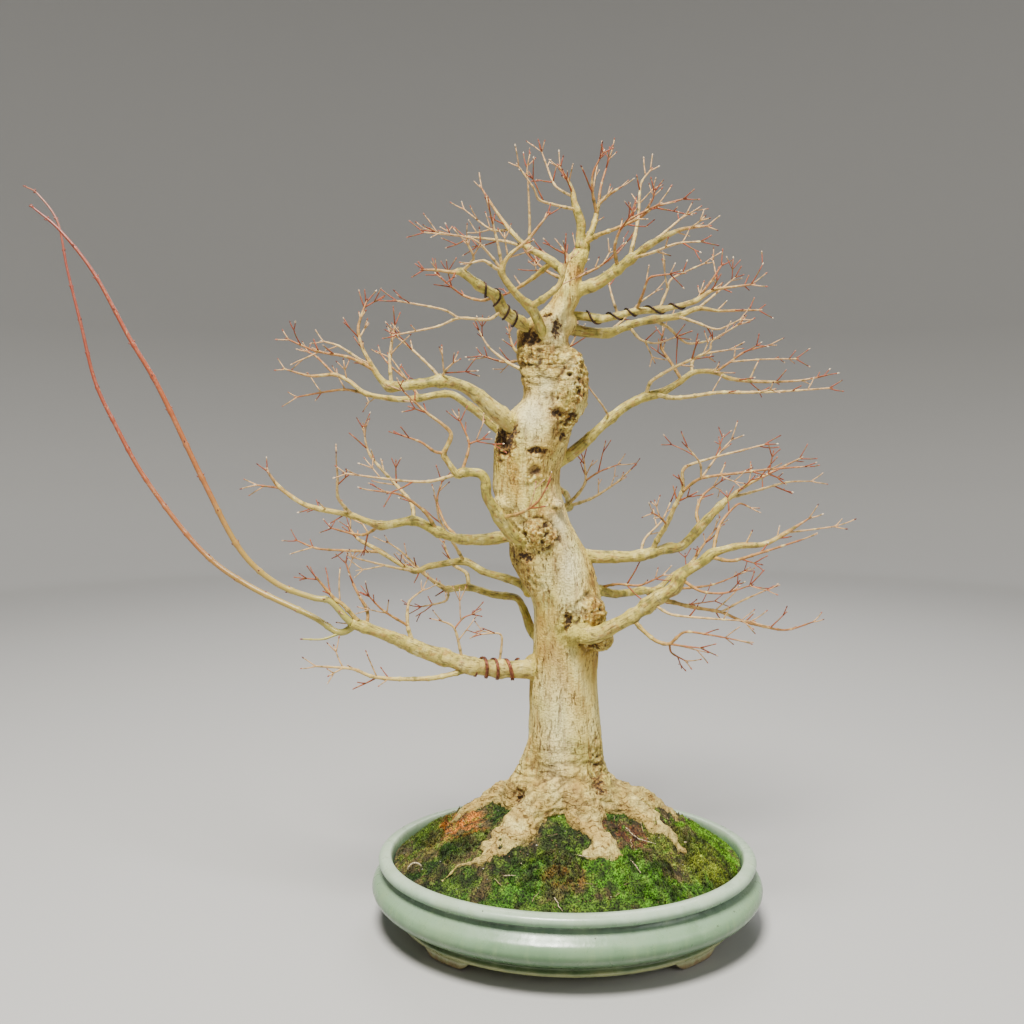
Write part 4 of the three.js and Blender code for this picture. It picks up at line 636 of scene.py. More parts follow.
def add_piece(name, mesh, material, slot, *nodes):
    """Puts a mesh in the scene as a smooth piece of the object that stands for these CAD nodes."""
    piece = bpy.data.objects.new(name, mesh)
    bpy.context.scene.collection.objects.link(piece)
    mesh.materials.clear()
    mesh.materials.append(material)
    mesh.shade_smooth()
    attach(piece, "root")
    if nodes:
        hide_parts(*nodes)


def mesh_points(mesh):
    """A mesh's points in millimetres about the pot's middle, and their normals."""
    points = np.empty(len(mesh.vertices) * 3, np.float32)
    normals = np.empty(len(mesh.vertices) * 3, np.float32)
    mesh.vertices.foreach_get("co", points)
    mesh.vertices.foreach_get("normal", normals)
    return (points.reshape(-1, 3) - POT_MIDDLE) / MM, normals.reshape(-1, 3)


def move_points(mesh, points):
    placed = points * MM + POT_MIDDLE
    mesh.vertices.foreach_set("co", placed.astype(np.float32).ravel())
    mesh.update()


def with_modifiers(mesh, modifiers):
    """The mesh after these modifiers: pairs of a kind and its settings."""
    holder = bpy.data.objects.new(mesh.name, mesh)
    bpy.context.scene.collection.objects.link(holder)
    for kind, settings in modifiers:
        modifier = holder.modifiers.new(kind.lower(), kind)
        for key, value in settings.items():
            setattr(modifier, key, value)
    seen = holder.evaluated_get(bpy.context.evaluated_depsgraph_get())
    result = bpy.data.meshes.new_from_object(seen)
    bpy.data.objects.remove(holder)
    return result


# ---- materials ----
class Look:
    """A material's node tree, with short ways to add and join its nodes. Sizes are in millimetres."""

    def __init__(self, name, **settings):
        self.material = bpy.data.materials.new(name)
        self.material.use_nodes = True
        self.tree = self.material.node_tree
        self.shader = self.tree.nodes["Principled BSDF"]
        for socket, value in settings.items():
            self.shader.inputs[socket.replace("_", " ")].default_value = value

    def node(self, kind, **settings):
        node = self.tree.nodes.new(kind)
        for key, value in settings.items():
            setattr(node, key, value)
        return node

    def join(self, value, socket):
        """Links an output to a socket, or sets the socket to a number or a colour."""
        if isinstance(value, bpy.types.NodeSocket):
            self.tree.links.new(value, socket)
        elif isinstance(value, tuple) and len(value) == 3 and socket.type == "RGBA":
            socket.default_value = (*value, 1)
        else:
            socket.default_value = value

    def value(self, name):
        return self.node("ShaderNodeAttribute", attribute_name=name).outputs["Fac"]

    def colour(self, name):
        return self.node("ShaderNodeAttribute", attribute_name=name).outputs["Color"]

    def vector(self, name):
        return self.node("ShaderNodeAttribute", attribute_name=name).outputs["Vector"]

    def stretch(self, vector, x, y, z):
        mapping = self.node("ShaderNodeMapping")
        self.join(vector, mapping.inputs["Vector"])
        mapping.inputs["Scale"].default_value = (x, y, z)
        return mapping.outputs["Vector"]

    def place(self):
        """The place on the object, in millimetres."""
        return self.stretch(self.node("ShaderNodeTexCoord").outputs["Object"], 1 / MM, 1 / MM, 1 / MM)

    def height(self):
        """Height above the ground, in millimetres."""
        parts = self.node("ShaderNodeSeparateXYZ")
        self.join(self.place(), parts.inputs["Vector"])
        return parts.outputs["Z"]

    def noise(self, vector, size, detail=3.0):
        node = self.node("ShaderNodeTexNoise")
        self.join(vector, node.inputs["Vector"])
        node.inputs["Scale"].default_value = 1 / size
        node.inputs["Detail"].default_value = detail
        return node.outputs["Fac"]

    def cells(self, vector, size):
        node = self.node("ShaderNodeTexVoronoi")
        self.join(vector, node.inputs["Vector"])
        node.inputs["Scale"].default_value = 1 / size
        return node.outputs["Distance"]

    def ramp(self, factor, stops):
        """Colours or greys at places from 0 to 1."""
        node = self.node("ShaderNodeValToRGB")
        self.join(factor, node.inputs["Fac"])
        elements = node.color_ramp.elements
        while len(elements) < len(stops):
            elements.new(0.5)
        for element, (place, colour) in zip(elements, stops):
            element.position = place
            element.color = (*colour, 1) if isinstance(colour, tuple) else (colour, colour, colour, 1)
        return node.outputs["Color"]

    def range(self, factor, low, high, start=0.0, end=1.0):
        """A number that goes from start to end while the factor goes from low to high."""
        node = self.node("ShaderNodeMapRange")
        self.join(factor, node.inputs["Value"])
        node.inputs["From Min"].default_value = low
        node.inputs["From Max"].default_value = high
        node.inputs["To Min"].default_value = start
        node.inputs["To Max"].default_value = end
        return node.outputs["Result"]

    def maths(self, operation, a, b):
        node = self.node("ShaderNodeMath", operation=operation)
        self.join(a, node.inputs[0])
        self.join(b, node.inputs[1])
        return node.outputs["Value"]

    def mix(self, factor, a, b, blend="MIX"):
        node = self.node("ShaderNodeMix", data_type="RGBA", blend_type=blend)
        self.join(factor, node.inputs[0])
        self.join(a, node.inputs[6])
        self.join(b, node.inputs[7])
        return node.outputs[2]

    def contours(self, vector, size, count, width):
        """Thin winding lines where a noise passes through evenly spaced levels."""
        levels = self.maths("MULTIPLY", self.noise(vector, size, 3.0), count)
        return self.range(self.maths("PINGPONG", levels, 1.0), width, 0)

    def finish(self, colour, height=None, depth=0.5, roughness=None):
        """Sets the colour, a bump this many millimetres deep, and a roughness that varies."""
        self.join(colour, self.shader.inputs["Base Color"])
        if height is not None:
            bump = self.node("ShaderNodeBump")
            bump.inputs["Distance"].default_value = depth * MM
            self.join(height, bump.inputs["Height"])
            self.join(bump.outputs["Normal"], self.shader.inputs["Normal"])
        if roughness is not None:
            self.join(roughness, self.shader.inputs["Roughness"])
        return self.material


def limb_colour(look, girth, grain, tint):
    """Bark from red or cream young wood, through olive, to the tan of old limbs."""
    patches = look.noise(grain, 9)
    age = look.range(look.maths("ADD", girth, look.range(patches, 0.3, 0.7, -0.5, 0.5)), 0.4, 8.4)
    red = look.ramp(age, [
        (0.0, (0.25, 0.042, 0.014)), (0.06, (0.33, 0.085, 0.02)), (0.13, (0.42, 0.2, 0.045)),
        (0.25, (0.5, 0.36, 0.07)), (0.5, (0.45, 0.37, 0.055)), (1.0, (0.58, 0.46, 0.11)),
    ])
    cream = look.ramp(age, [
        (0.0, (0.6, 0.34, 0.15)), (0.08, (0.7, 0.5, 0.2)), (0.25, (0.66, 0.52, 0.15)),
        (0.5, (0.45, 0.37, 0.055)), (1.0, (0.58, 0.46, 0.11)),
    ])
    return look.mix(tint, cream, red)


def make_limb_look():
    look = Look("maple_limb_bark", Roughness=0.62, Coat_Weight=0.06, Coat_Roughness=0.4)
    grain = look.vector("grain")
    girth = look.value("girth")
    colour = limb_colour(look, girth, grain, look.value("tint"))
    streaks = look.noise(look.stretch(grain, 1, 1, 0.16), 1.6, 4.0)
    rings = look.noise(look.stretch(grain, 0.12, 0.12, 1), 2.4, 3.0)
    blotches = look.noise(grain, 9, 5.0)
    colour = look.mix(look.range(blotches, 0.54, 0.68, 0, 0.55), colour, (0.86, 0.76, 0.3))
    rust = look.noise(look.stretch(grain, 1, 1, 0.5), 5, 5.0)
    colour = look.mix(look.range(rust, 0.54, 0.64, 0, 0.6), colour, (0.36, 0.17, 0.03))
    colour = look.mix(look.range(blotches, 0.46, 0.34, 0, 0.85), colour, (0.17, 0.15, 0.018))
    old = look.range(girth, 1.6, 4.0)
    flecks = look.range(streaks, 0.55, 0.66, 0, 0.75)
    colour = look.mix(look.maths("MULTIPLY", flecks, old), colour, (0.13, 0.08, 0.03))
    scars = look.range(rings, 0.6, 0.7, 0, 0.5)
    colour = look.mix(look.maths("MULTIPLY", scars, old), colour, (0.2, 0.13, 0.05))
    bud = look.value("bud")
    bud_colour = look.ramp(bud, [
        (0.0, (0.5, 0.2, 0.1)), (0.35, (0.3, 0.07, 0.03)), (0.55, (0.09, 0.03, 0.02)),
        (0.75, (0.5, 0.32, 0.17)), (1.0, (0.7, 0.55, 0.36)),
    ])
    colour = look.mix(look.range(bud, 0.02, 0.06), colour, bud_colour)
    relief = look.maths("SUBTRACT", look.noise(grain, 3, 5.0), look.maths("MULTIPLY", flecks, 0.6))
    return look.finish(colour, relief, depth=0.9)


def make_trunk_look():
    look = Look("maple_trunk_bark", Roughness=0.85)
    place = look.place()
    broad = look.noise(look.stretch(place, 1, 1, 0.4), 26, 3.0)
    colour = look.ramp(broad, [
        (0.32, (0.36, 0.19, 0.03)), (0.43, (0.62, 0.42, 0.08)), (0.55, (0.82, 0.65, 0.18)),
        (0.68, (0.94, 0.82, 0.3)),
    ])
    green = look.noise(place, 34, 3.0)
    colour = look.mix(look.range(green, 0.52, 0.7, 0, 0.6), colour, (0.5, 0.46, 0.07))
    strips = look.noise(look.stretch(place, 1, 1, 0.1), 4.2, 5.0)
    strip_mark = look.range(strips, 0.53, 0.66)
    colour = look.mix(look.maths("MULTIPLY", strip_mark, 0.75), colour, (0.36, 0.18, 0.03))
    bands = look.noise(look.stretch(place, 0.1, 0.1, 1), 3.6, 4.0)
    band_mark = look.range(bands, 0.56, 0.68)
    colour = look.mix(look.maths("MULTIPLY", band_mark, 0.4), colour, (0.34, 0.19, 0.04))
    pale = look.value("pale")
    colour = look.mix(look.maths("MULTIPLY", pale, 0.8), colour, (0.97, 0.9, 0.5))
    specks = look.noise(look.stretch(place, 1, 1, 0.26), 1.9, 5.0)
    crowds = look.range(look.noise(look.stretch(place, 1, 1, 0.5), 15, 3.0), 0.4, 0.6, 0.2, 1)
    speck_mark = look.maths("MULTIPLY", look.range(specks, 0.55, 0.62), crowds)
    speck_strength = look.maths("MULTIPLY", speck_mark, look.range(pale, 0, 1, 0.92, 0.4))
    colour = look.mix(speck_strength, colour, (0.1, 0.042, 0.008))
    root = look.value("root")
    wander = look.noise(place, 5, 4.0)
    swirls = look.contours(look.stretch(place, 1, 1, 1.5), 13, 12, 0.42)
    worn = look.range(look.noise(place, 15, 4.0), 0.42, 0.56)
    swirl_mark = look.maths("MULTIPLY", swirls, look.range(wander, 0.36, 0.54))
    swirl_mark = look.maths("MULTIPLY", swirl_mark, look.range(worn, 0, 1, 0.4, 1))
    colour = look.mix(look.maths("MULTIPLY", root, 0.4), colour, (0.95, 0.82, 0.3))
    colour = look.mix(look.maths("MULTIPLY", root, look.range(worn, 0, 1, 0, 0.6)), colour, (0.5, 0.3, 0.06))
    swirl_strength = look.maths("MULTIPLY", swirl_mark, look.range(root, 0, 1, 0.1, 0.95))
    colour = look.mix(swirl_strength, colour, (0.14, 0.055, 0.009))
    fold_lines = look.contours(look.stretch(place, 0.24, 0.24, 1), 9, 9, 0.34)
    fold_strength = look.maths("MULTIPLY", fold_lines, look.value("fold"))
    fold_strength = look.maths("MULTIPLY", fold_strength, look.range(wander, 0.34, 0.58))
    colour = look.mix(fold_strength, colour, (0.08, 0.03, 0.006))
    crag = look.value("crag")
    crag_noise = look.noise(place, 3.2, 5.0)
    crag_colour = look.ramp(crag_noise, [
        (0.4, (0.025, 0.01, 0.002)), (0.45, (0.24, 0.09, 0.01)), (0.5, (0.5, 0.32, 0.03)),
        (0.55, (0.72, 0.6, 0.1)), (0.61, (0.97, 0.9, 0.42)),
    ])
    colour = look.mix(look.maths("MULTIPLY", crag, 0.9), colour, crag_colour)
    rust = look.maths("MULTIPLY", crag, look.range(look.noise(place, 13, 3.0), 0.5, 0.62, 0, 0.75))
    rust_colour = look.mix(look.range(wander, 0.4, 0.6), (0.12, 0.035, 0.008), (0.55, 0.24, 0.03))
    colour = look.mix(rust, colour, rust_colour)
    colour = look.mix(look.value("collar"), colour, (0.6, 0.5, 0.1))
    damp = look.maths("MULTIPLY", look.value("damp"), look.range(wander, 0.4, 0.6))
    colour = look.mix(damp, colour, (0.06, 0.09, 0.01))
    # Painted shade in the fissures, folds, crag dips and furrows.
    colour = look.mix(look.value("painted_cavity_shade"), colour, (0.05, 0.02, 0.004))
    fray = look.range(look.noise(place, 3, 5.0), 0.3, 0.7, -0.5, 0.5)
    ragged = look.maths("ADD", look.value("shade"), fray)
    colour = look.mix(look.range(ragged, 0.3, 0.7, 0, 0.8), colour, (0.2, 0.085, 0.014))
    colour = look.mix(look.range(ragged, 0.62, 0.95, 0, 0.94), colour, (0.03, 0.014, 0.005))
    relief = look.maths("ADD", look.maths("MULTIPLY", strip_mark, -0.5), look.noise(place, 2.2, 5.0))
    relief = look.maths("SUBTRACT", relief, look.maths("MULTIPLY", swirl_strength, 0.8))
    relief = look.maths("SUBTRACT", relief, look.maths("MULTIPLY", fold_strength, 0.8))
    relief = look.maths("SUBTRACT", relief, look.maths("MULTIPLY", speck_mark, 0.4))
    return look.finish(colour, relief, depth=1.6)


def make_glaze_look():
    look = Look("celadon_glaze", Roughness=0.3, Coat_Weight=0.3, Coat_Roughness=0.2, IOR=1.5)
    place = look.place()
    share = look.range(look.height(), 0, POT_HEIGHT)
    wobble = look.range(look.noise(look.stretch(place, 1, 1, 0.4), 26, 3.0), 0.3, 0.7, -0.02, 0.02)
    # Colour by height, with painted light and shade: painted shade on the lower belly, which turns down
    # under the widest part, and in the groove under the lip, and a painted highlight on the upper belly and
    # the top of the lip. The brown foot and the pale bead above it are the pot's own colour.
    colour = look.ramp(look.maths("ADD", share, wobble), [
        (0.0, (0.3, 0.2, 0.08)), (0.05, (0.42, 0.36, 0.17)), (0.1, (0.4, 0.44, 0.22)),
        (0.165, (0.36, 0.38, 0.17)), (0.2, (0.12, 0.18, 0.07)), (0.245, (0.014, 0.035, 0.014)),
        (0.3, (0.035, 0.08, 0.035)), (0.42, (0.07, 0.15, 0.065)), (0.56, (0.11, 0.22, 0.1)),
        (0.68, (0.24, 0.38, 0.22)), (0.76, (0.26, 0.39, 0.25)), (0.8, (0.16, 0.25, 0.17)),
        (0.835, (0.03, 0.065, 0.035)), (0.87, (0.14, 0.24, 0.15)), (0.92, (0.23, 0.36, 0.23)),
        (0.97, (0.42, 0.56, 0.4)), (1.0, (0.48, 0.6, 0.44)),
    ])
    clouds = look.noise(look.stretch(place, 1, 1, 0.5), 34, 4.0)
    colour = look.mix(look.range(clouds, 0.5, 0.72, 0, 0.3), colour, (0.26, 0.36, 0.19))
    colour = look.mix(look.range(clouds, 0.46, 0.3, 0, 0.3), colour, (0.05, 0.14, 0.05))
    runs = look.noise(look.stretch(place, 1, 1, 0.12), 7, 4.0)
    colour = look.mix(look.range(runs, 0.54, 0.74, 0, 0.25), colour, (0.32, 0.45, 0.2))
    grains = look.noise(place, 1.6, 2.0)
    colour = look.mix(look.range(grains, 0.68, 0.74, 0, 0.5), colour, (0.16, 0.16, 0.08))
    pits = look.cells(place, 17)
    colour = look.mix(look.range(pits, 0.055, 0.035, 0, 0.85), colour, (0.035, 0.03, 0.015))
    wear = look.maths("MULTIPLY", look.range(share, 0.13, 0.05), look.range(runs, 0.35, 0.6))
    colour = look.mix(wear, colour, (0.3, 0.2, 0.1))
    relief = look.maths("ADD", look.noise(place, 15, 3.0), look.maths("MULTIPLY", grains, 0.08))
    roughness = look.range(look.noise(place, 11, 4.0), 0.35, 0.7, 0.24, 0.44)
    return look.finish(colour, relief, depth=0.5, roughness=roughness)


def make_ground_look(name, roughness, speck_size, relief_depth):
    """Soil, moss or litter in the colours kept at its points, with finer specks, painted shade between its
    grains and painted highlights on their tops.
    """
    look = Look(name, Roughness=roughness)
    place = look.place()
    tone = look.colour("tone")
    grains = look.noise(place, speck_size, 5.0)
    # Painted shade where the bump is low, between the grains, and painted highlights where it is high, on
    # their tops.
    colour = look.mix(look.range(grains, 0.52, 0.42, 0, 0.85), tone, (0.008, 0.007, 0.002))
    bright = look.mix(1.0, tone, (2.4, 2.3, 1.6), "MULTIPLY")
    colour = look.mix(look.range(grains, 0.55, 0.68, 0, 0.7), colour, bright)
    flecks = look.noise(place, speck_size * 0.6, 2.0)
    colour = look.mix(look.range(flecks, 0.7, 0.76, 0, 0.5), colour, (0.5, 0.4, 0.22))
    return look.finish(colour, grains, depth=relief_depth)


def make_wire_look(name, colour_dark, colour_bright, roughness):
    look = Look(name, Metallic=0.7)
    place = look.place()
    tarnish = look.noise(place, 5, 4.0)
    colour = look.ramp(tarnish, [(0.35, colour_dark), (0.65, colour_bright)])
    scratch = look.noise(place, 0.8, 3.0)
    rough = look.range(tarnish, 0.3, 0.7, roughness, roughness + 0.2)
    return look.finish(colour, scratch, depth=0.08, roughness=rough)


def make_screen_look():
    look = Look("black_plastic_mesh", Roughness=0.5)
    place = look.place()
    weave = look.cells(place, 1.2)
    dust = look.noise(place, 4, 4.0)
    colour = look.ramp(dust, [(0.4, (0.015, 0.015, 0.016)), (0.7, (0.07, 0.055, 0.035))])
    return look.finish(colour, weave, depth=0.2)


def make_backdrop_look():
    look = Look("pale_paper", Roughness=0.95)
    rise = look.range(look.height(), 0, 900)
    # Painted shade: the paper is darkened from the floor up the wall.
    colour = look.ramp(rise, [(0.0, (0.5, 0.495, 0.485)), (1.0, (0.3, 0.297, 0.29))])
    fibres = look.noise(look.place(), 3, 2.0)
    return look.finish(colour, fibres, depth=0.02)


# ---- pot ----
def wall_z(share):
    return FOOT_HEIGHT + share * (POT_HEIGHT - FOOT_HEIGHT)


# The pot's outside, then the inside down to the floor: how far each point stands in from the widest
# oval, and its height as a share of the wall above the feet.
OUTSIDE = [
    [BASE_INSET + 2, 0], [BASE_INSET - 2, 0.02], [BASE_INSET - 3, 0.07], [BASE_INSET, 0.12],
    [22, 0.2], [8, 0.33], [1.5, 0.44], [0, 0.53], [2.5, 0.63], [9, 0.71], [NECK_INSET - 1, 0.77],
    [NECK_INSET, 0.82], [LIP_INSET + 2, 0.86], [LIP_INSET, 0.93], [LIP_INSET + 2, 0.98],
    [LIP_INSET + 5, 1],
]
INSIDE = [
    [LIP_INSET + LIP_WIDTH - 1.5, 1], [LIP_INSET + LIP_WIDTH, 0.96], [INSIDE_INSET, 0.82],
]
FLOOR_SLOPE_WIDTH = 9
FLOOR_SLOPE_HEIGHT = 4
POT_SIDES = 320


def oval(inset, sides=POT_SIDES):
    """X and Y of an oval that stands in from the widest one."""
    angles = ring_angles(sides)
    x = (POT_LENGTH / 2 - inset) * np.cos(angles)
    return np.column_stack([x, (POT_WIDTH / 2 - inset) * np.sin(angles)])


def oval_ring(inset, z, sides=POT_SIDES):
    return np.column_stack([oval(inset, sides), np.full(sides, z)])


def foot_rings(side_x, side_y):
    """A foot like a small cloud: scalloped ends, a flat bottom, and a face that follows the oval."""
    half_length = POT_LENGTH / 2 - BASE_INSET - 1
    half_width = POT_WIDTH / 2 - BASE_INSET - 1
    middle_x = side_x * FOOT_ACROSS / 2
    middle = math.atan2(side_y * math.sqrt(1 - (middle_x / half_length)**2), middle_x / half_length)
    turn_length = math.hypot(half_length * math.sin(middle), half_width * math.cos(middle))
    rings = []
    sink = 2.5
    for u in np.linspace(-1, 1, 49):
        angle = middle + u * FOOT_LENGTH / 2 / turn_length
        outer = np.array([half_length * math.cos(angle), half_width * math.sin(angle)])
        inward = -unit(np.array([math.cos(angle) / half_length, math.sin(angle) / half_width]))
        lobe = 0.16 * abs(math.sin(2.5 * math.pi * u)) * (1 if abs(u) > 0.4 else 0)
        drop = FOOT_HEIGHT * min(1.0, (1 - abs(u)**5) + lobe * (1 - u * u))
        depth = FOOT_DEPTH * (0.35 + 0.65 * math.sqrt(max(0.0, 1 - u * u)))
        bottom = FOOT_HEIGHT - drop
        bulge = 1.2 * math.sqrt(max(0.0, 1 - u * u))
        section = [
            (-0.2, FOOT_HEIGHT + sink), (-bulge, bottom + drop * 0.75), (-bulge, bottom + drop * 0.35),
            (0.4, bottom + min(1.0, drop * 0.1)), (1.6, bottom), (depth - 2, bottom),
            (depth, bottom + min(1.5, drop * 0.2)), (depth, FOOT_HEIGHT + sink),
        ]
        rings.append([[*(outer + inward * inset), z] for inset, z in section])
    return np.array(rings)


def make_pot(material):
    outside = smooth_path([[wall_z(share), inset, 0] for inset, share in OUTSIDE], 1.2, 0.45)
    over_lip = smooth_path([[wall_z(share), inset, 0] for inset, share in [OUTSIDE[-1], INSIDE[0]]], 1.5)
    inside = smooth_path([[wall_z(share), inset, 0] for inset, share in INSIDE], 1.2, 0.45)
    crown = 0.5
    lip_width = INSIDE[0][0] - OUTSIDE[-1][0]
    profile = [(FOOT_HEIGHT, BASE_INSET + 12)]
    profile += [(z, inset) for z, inset, _ in outside]
    for z, inset, _ in over_lip[1:-1]:
        across = (inset - OUTSIDE[-1][0]) / lip_width
        profile.append((z + crown * math.sin(math.pi * across), inset))
    profile += [(z, inset) for z, inset, _ in inside]
    profile.append((POT_FLOOR_Z + FLOOR_SLOPE_HEIGHT, FLOOR_INSET - FLOOR_SLOPE_WIDTH))
    profile.append((POT_FLOOR_Z, FLOOR_INSET))
    shell = Form()
    shell.add_rings(np.array([oval_ring(inset, z) for z, inset in profile]))
    shell_mesh = shell.mesh("pot_shell")
    drills = []
    for side in (-1, 1):
        bpy.ops.mesh.primitive_cylinder_add(
            vertices=48, radius=DRAIN_HOLE_RADIUS * MM, depth=POT_FLOOR_Z * MM * 2,
            location=POT_MIDDLE + np.array([side * DRAIN_HOLE_SPACING / 2, 0, FOOT_HEIGHT]) * MM,
        )
        drills.append(bpy.context.object)
    cuts = [("BOOLEAN", {"object": drill, "operation": "DIFFERENCE", "solver": "EXACT"}) for drill in drills]
    drilled = with_modifiers(shell_mesh, cuts)
    for drill in drills:
        bpy.data.objects.remove(drill)
    feet = Form()
    for side_x, side_y in itertools.product((-1, 1), repeat=2):
        feet.add_rings(foot_rings(side_x, side_y))
    feet_mesh = with_modifiers(feet.mesh("pot_feet"), [("SUBSURF", {"levels": 1})])
    add_piece("glazed_pot", drilled, material, "glaze", "pot")
    add_piece("pot_cloud_feet", feet_mesh, material, "glaze")


# ---- soil, moss and litter ----
SOIL_SIDES = 420
SOIL_ROWS = 120
MOSS_SIDES = 120
MOSS_ROWS = 34
# Tufts for each square millimetre of a cushion, and tufts tried over the rest of the soil.
CUSHION_TUFTS = 0.55
FILM_TUFTS = 26000
BLADES_IN_TUFT = 4
BLADE_HALF_WIDTH = 0.42
SMALL_STICKS = 60
CRUMBS = 900
SOIL_BASE_TONE = (0.085, 0.062, 0.022)
# Where the ground changes colour: centre and half sizes as shares of the soil, colour, and strength.
GROUND_PATCHES = [
    ((-0.72, -0.05), (0.22, 0.4), (0.1, 0.085, 0.015), 0.9),
    ((-0.6, -0.08), (0.13, 0.18), (0.42, 0.13, 0.012), 0.95),
    ((-0.62, 0.12), (0.12, 0.1), (0.2, 0.06, 0.015), 0.9),
    ((-0.69, -0.42), (0.2, 0.07), (0.014, 0.045, 0.004), 1.0),
    ((-0.85, 0.2), (0.1, 0.3), (0.07, 0.13, 0.01), 0.9),
    ((-0.3, -0.1), (0.16, 0.14), (0.02, 0.055, 0.004), 1.0),
    ((0.0, -0.35), (0.12, 0.25), (0.022, 0.05, 0.006), 1.0),
    ((-0.06, -0.3), (0.05, 0.1), (0.08, 0.16, 0.008), 0.9),
    ((0.05, -0.62), (0.2, 0.12), (0.02, 0.026, 0.006), 0.9),
    ((-0.25, -0.62), (0.2, 0.1), (0.02, 0.035, 0.005), 0.9),
    ((-0.18, -0.66), (0.05, 0.05), (0.14, 0.22, 0.01), 0.9),
    ((0.34, -0.4), (0.14, 0.12), (0.09, 0.025, 0.008), 0.9),
    ((0.32, -0.22), (0.12, 0.1), (0.055, 0.15, 0.006), 1.0),
    ((0.84, -0.02), (0.18, 0.4), (0.14, 0.34, 0.006), 1.0),
    ((0.66, -0.46), (0.22, 0.2), (0.1, 0.11, 0.012), 0.95),
    ((0.78, -0.5), (0.12, 0.1), (0.22, 0.26, 0.015), 0.8),
    ((0.38, -0.76), (0.26, 0.16), (0.07, 0.2, 0.006), 1.0),
    ((-0.34, -0.82), (0.24, 0.12), (0.04, 0.12, 0.006), 1.0),
    ((-0.6, -0.66), (0.16, 0.12), (0.03, 0.08, 0.006), 0.9),
    ((-0.06, -0.8), (0.1, 0.06), (0.16, 0.06, 0.01), 0.8),
    ((0.05, -0.93), (0.4, 0.06), (0.04, 0.1, 0.006), 0.9),
    ((-0.45, 0.7), (0.34, 0.2), (0.05, 0.13, 0.008), 0.9),
    ((0.4, 0.76), (0.34, 0.16), (0.09, 0.2, 0.008), 0.9),
    ((0.55, 0.42), (0.2, 0.2), (0.045, 0.11, 0.008), 0.8),
    ((-0.6, 0.45), (0.2, 0.16), (0.12, 0.07, 0.02), 0.8),
]


# Bright tips of moss that show all over the soil.
SPRIG_TONE = (0.1, 0.17, 0.012)
# The mound against the trunk, between the roots: its middle, and how much it adds.
TRUNK_FOOT = (-6, 0)
MOUND_RISE = 12
MOUND_REACH = 72
# How high the moss creeps up beside the roots, and how far from their middles.
CREEP_RISE = 5
CREEP_REACH = 24


def dome_height(shares):
    """Height of the soil's smooth dome at places given as shares of its half length and half width."""
    return SOIL_EDGE_Z + SOIL_RISE * (1 - (shares**2).sum(axis=1))


def flat_points(places):
    """Places in X and Y as points at no height, for the noise to read."""
    return np.column_stack([places, np.zeros(len(places))])


def root_path(root):
    """A surface root's centre line and radius in the pot's own frame."""
    points = np.array(root, float)
    shares = points[:, :2]
    places = shares * SOIL_HALF_SIZES
    path = np.column_stack([places, dome_height(shares) + points[:, 2], points[:, 3]])
    return smooth_path(path, 3)


def root_places():
    """The places that the surface roots run over, ready to be searched."""
    places = np.vstack([root_path(root)[:, :2] for root in ROOTS])
    tree = KDTree(len(places))
    for number, (x, y) in enumerate(places):
        tree.insert((x, y, 0), number)
    tree.balance()
    return tree


ROOT_TREE = root_places()


def soil_lumps(places):
    """Height of the soil's lumps at places in millimetres, X and Y."""
    flat = flat_points(places)
    return rough_noise(flat, 16, 31) * 1.5 + rough_noise(flat, 4, 37) * 0.6


def soil_height(shares):
    """Height of the ground at places given as shares of the soil's half length and half width."""
    places = shares * SOIL_HALF_SIZES
    dome = dome_height(shares)
    flat = flat_points(places)
    root_gap = np.array([ROOT_TREE.find((x, y, 0))[2] for x, y in places])
    creep = CREEP_RISE * bell(root_gap / CREEP_REACH) * (0.8 + rough_noise(flat, 7, 83))
    edge = np.clip((1 - np.linalg.norm(shares, axis=1)) / 0.05, 0.2, 1)
    beside_trunk = np.linalg.norm(places - TRUNK_FOOT, axis=1) / MOUND_REACH
    return dome + soil_lumps(places) * edge + MOUND_RISE * bell(beside_trunk) + creep


def ground_points(shares, lift=0.0):
    """Points on the ground, or this far above it, at places given as shares of the soil's half sizes."""
    return np.column_stack([shares * SOIL_HALF_SIZES, soil_height(shares) + lift])


def ground_tone(shares):
    """Colour of the ground: dark soil with patches whose edges wander."""
    places = flat_points(shares * SOIL_HALF_SIZES)
    tone = np.tile(np.array(SOIL_BASE_TONE), (len(shares), 1))
    wander = rough_noise(places, 14, 41) * 0.65 + rough_noise(places, 5, 42) * 0.35
    for centre, half, colour, strength in GROUND_PATCHES:
        far = np.linalg.norm((shares - centre) / half, axis=1) + wander
        cover = np.clip((1.25 - far) / 0.45, 0, 1)[:, None] * strength
        tone = tone * (1 - cover) + np.array(colour) * cover
    sprigs = np.clip(rough_noise(places, 4, 45) * 2 - 0.35, 0, 0.6)[:, None]
    tone = tone * (1 - sprigs) + np.array(SPRIG_TONE) * sprigs
    mottle = 1 + 0.8 * rough_noise(places, 6, 43)[:, None]
    return tone * np.clip(mottle, 0.22, 2.1)


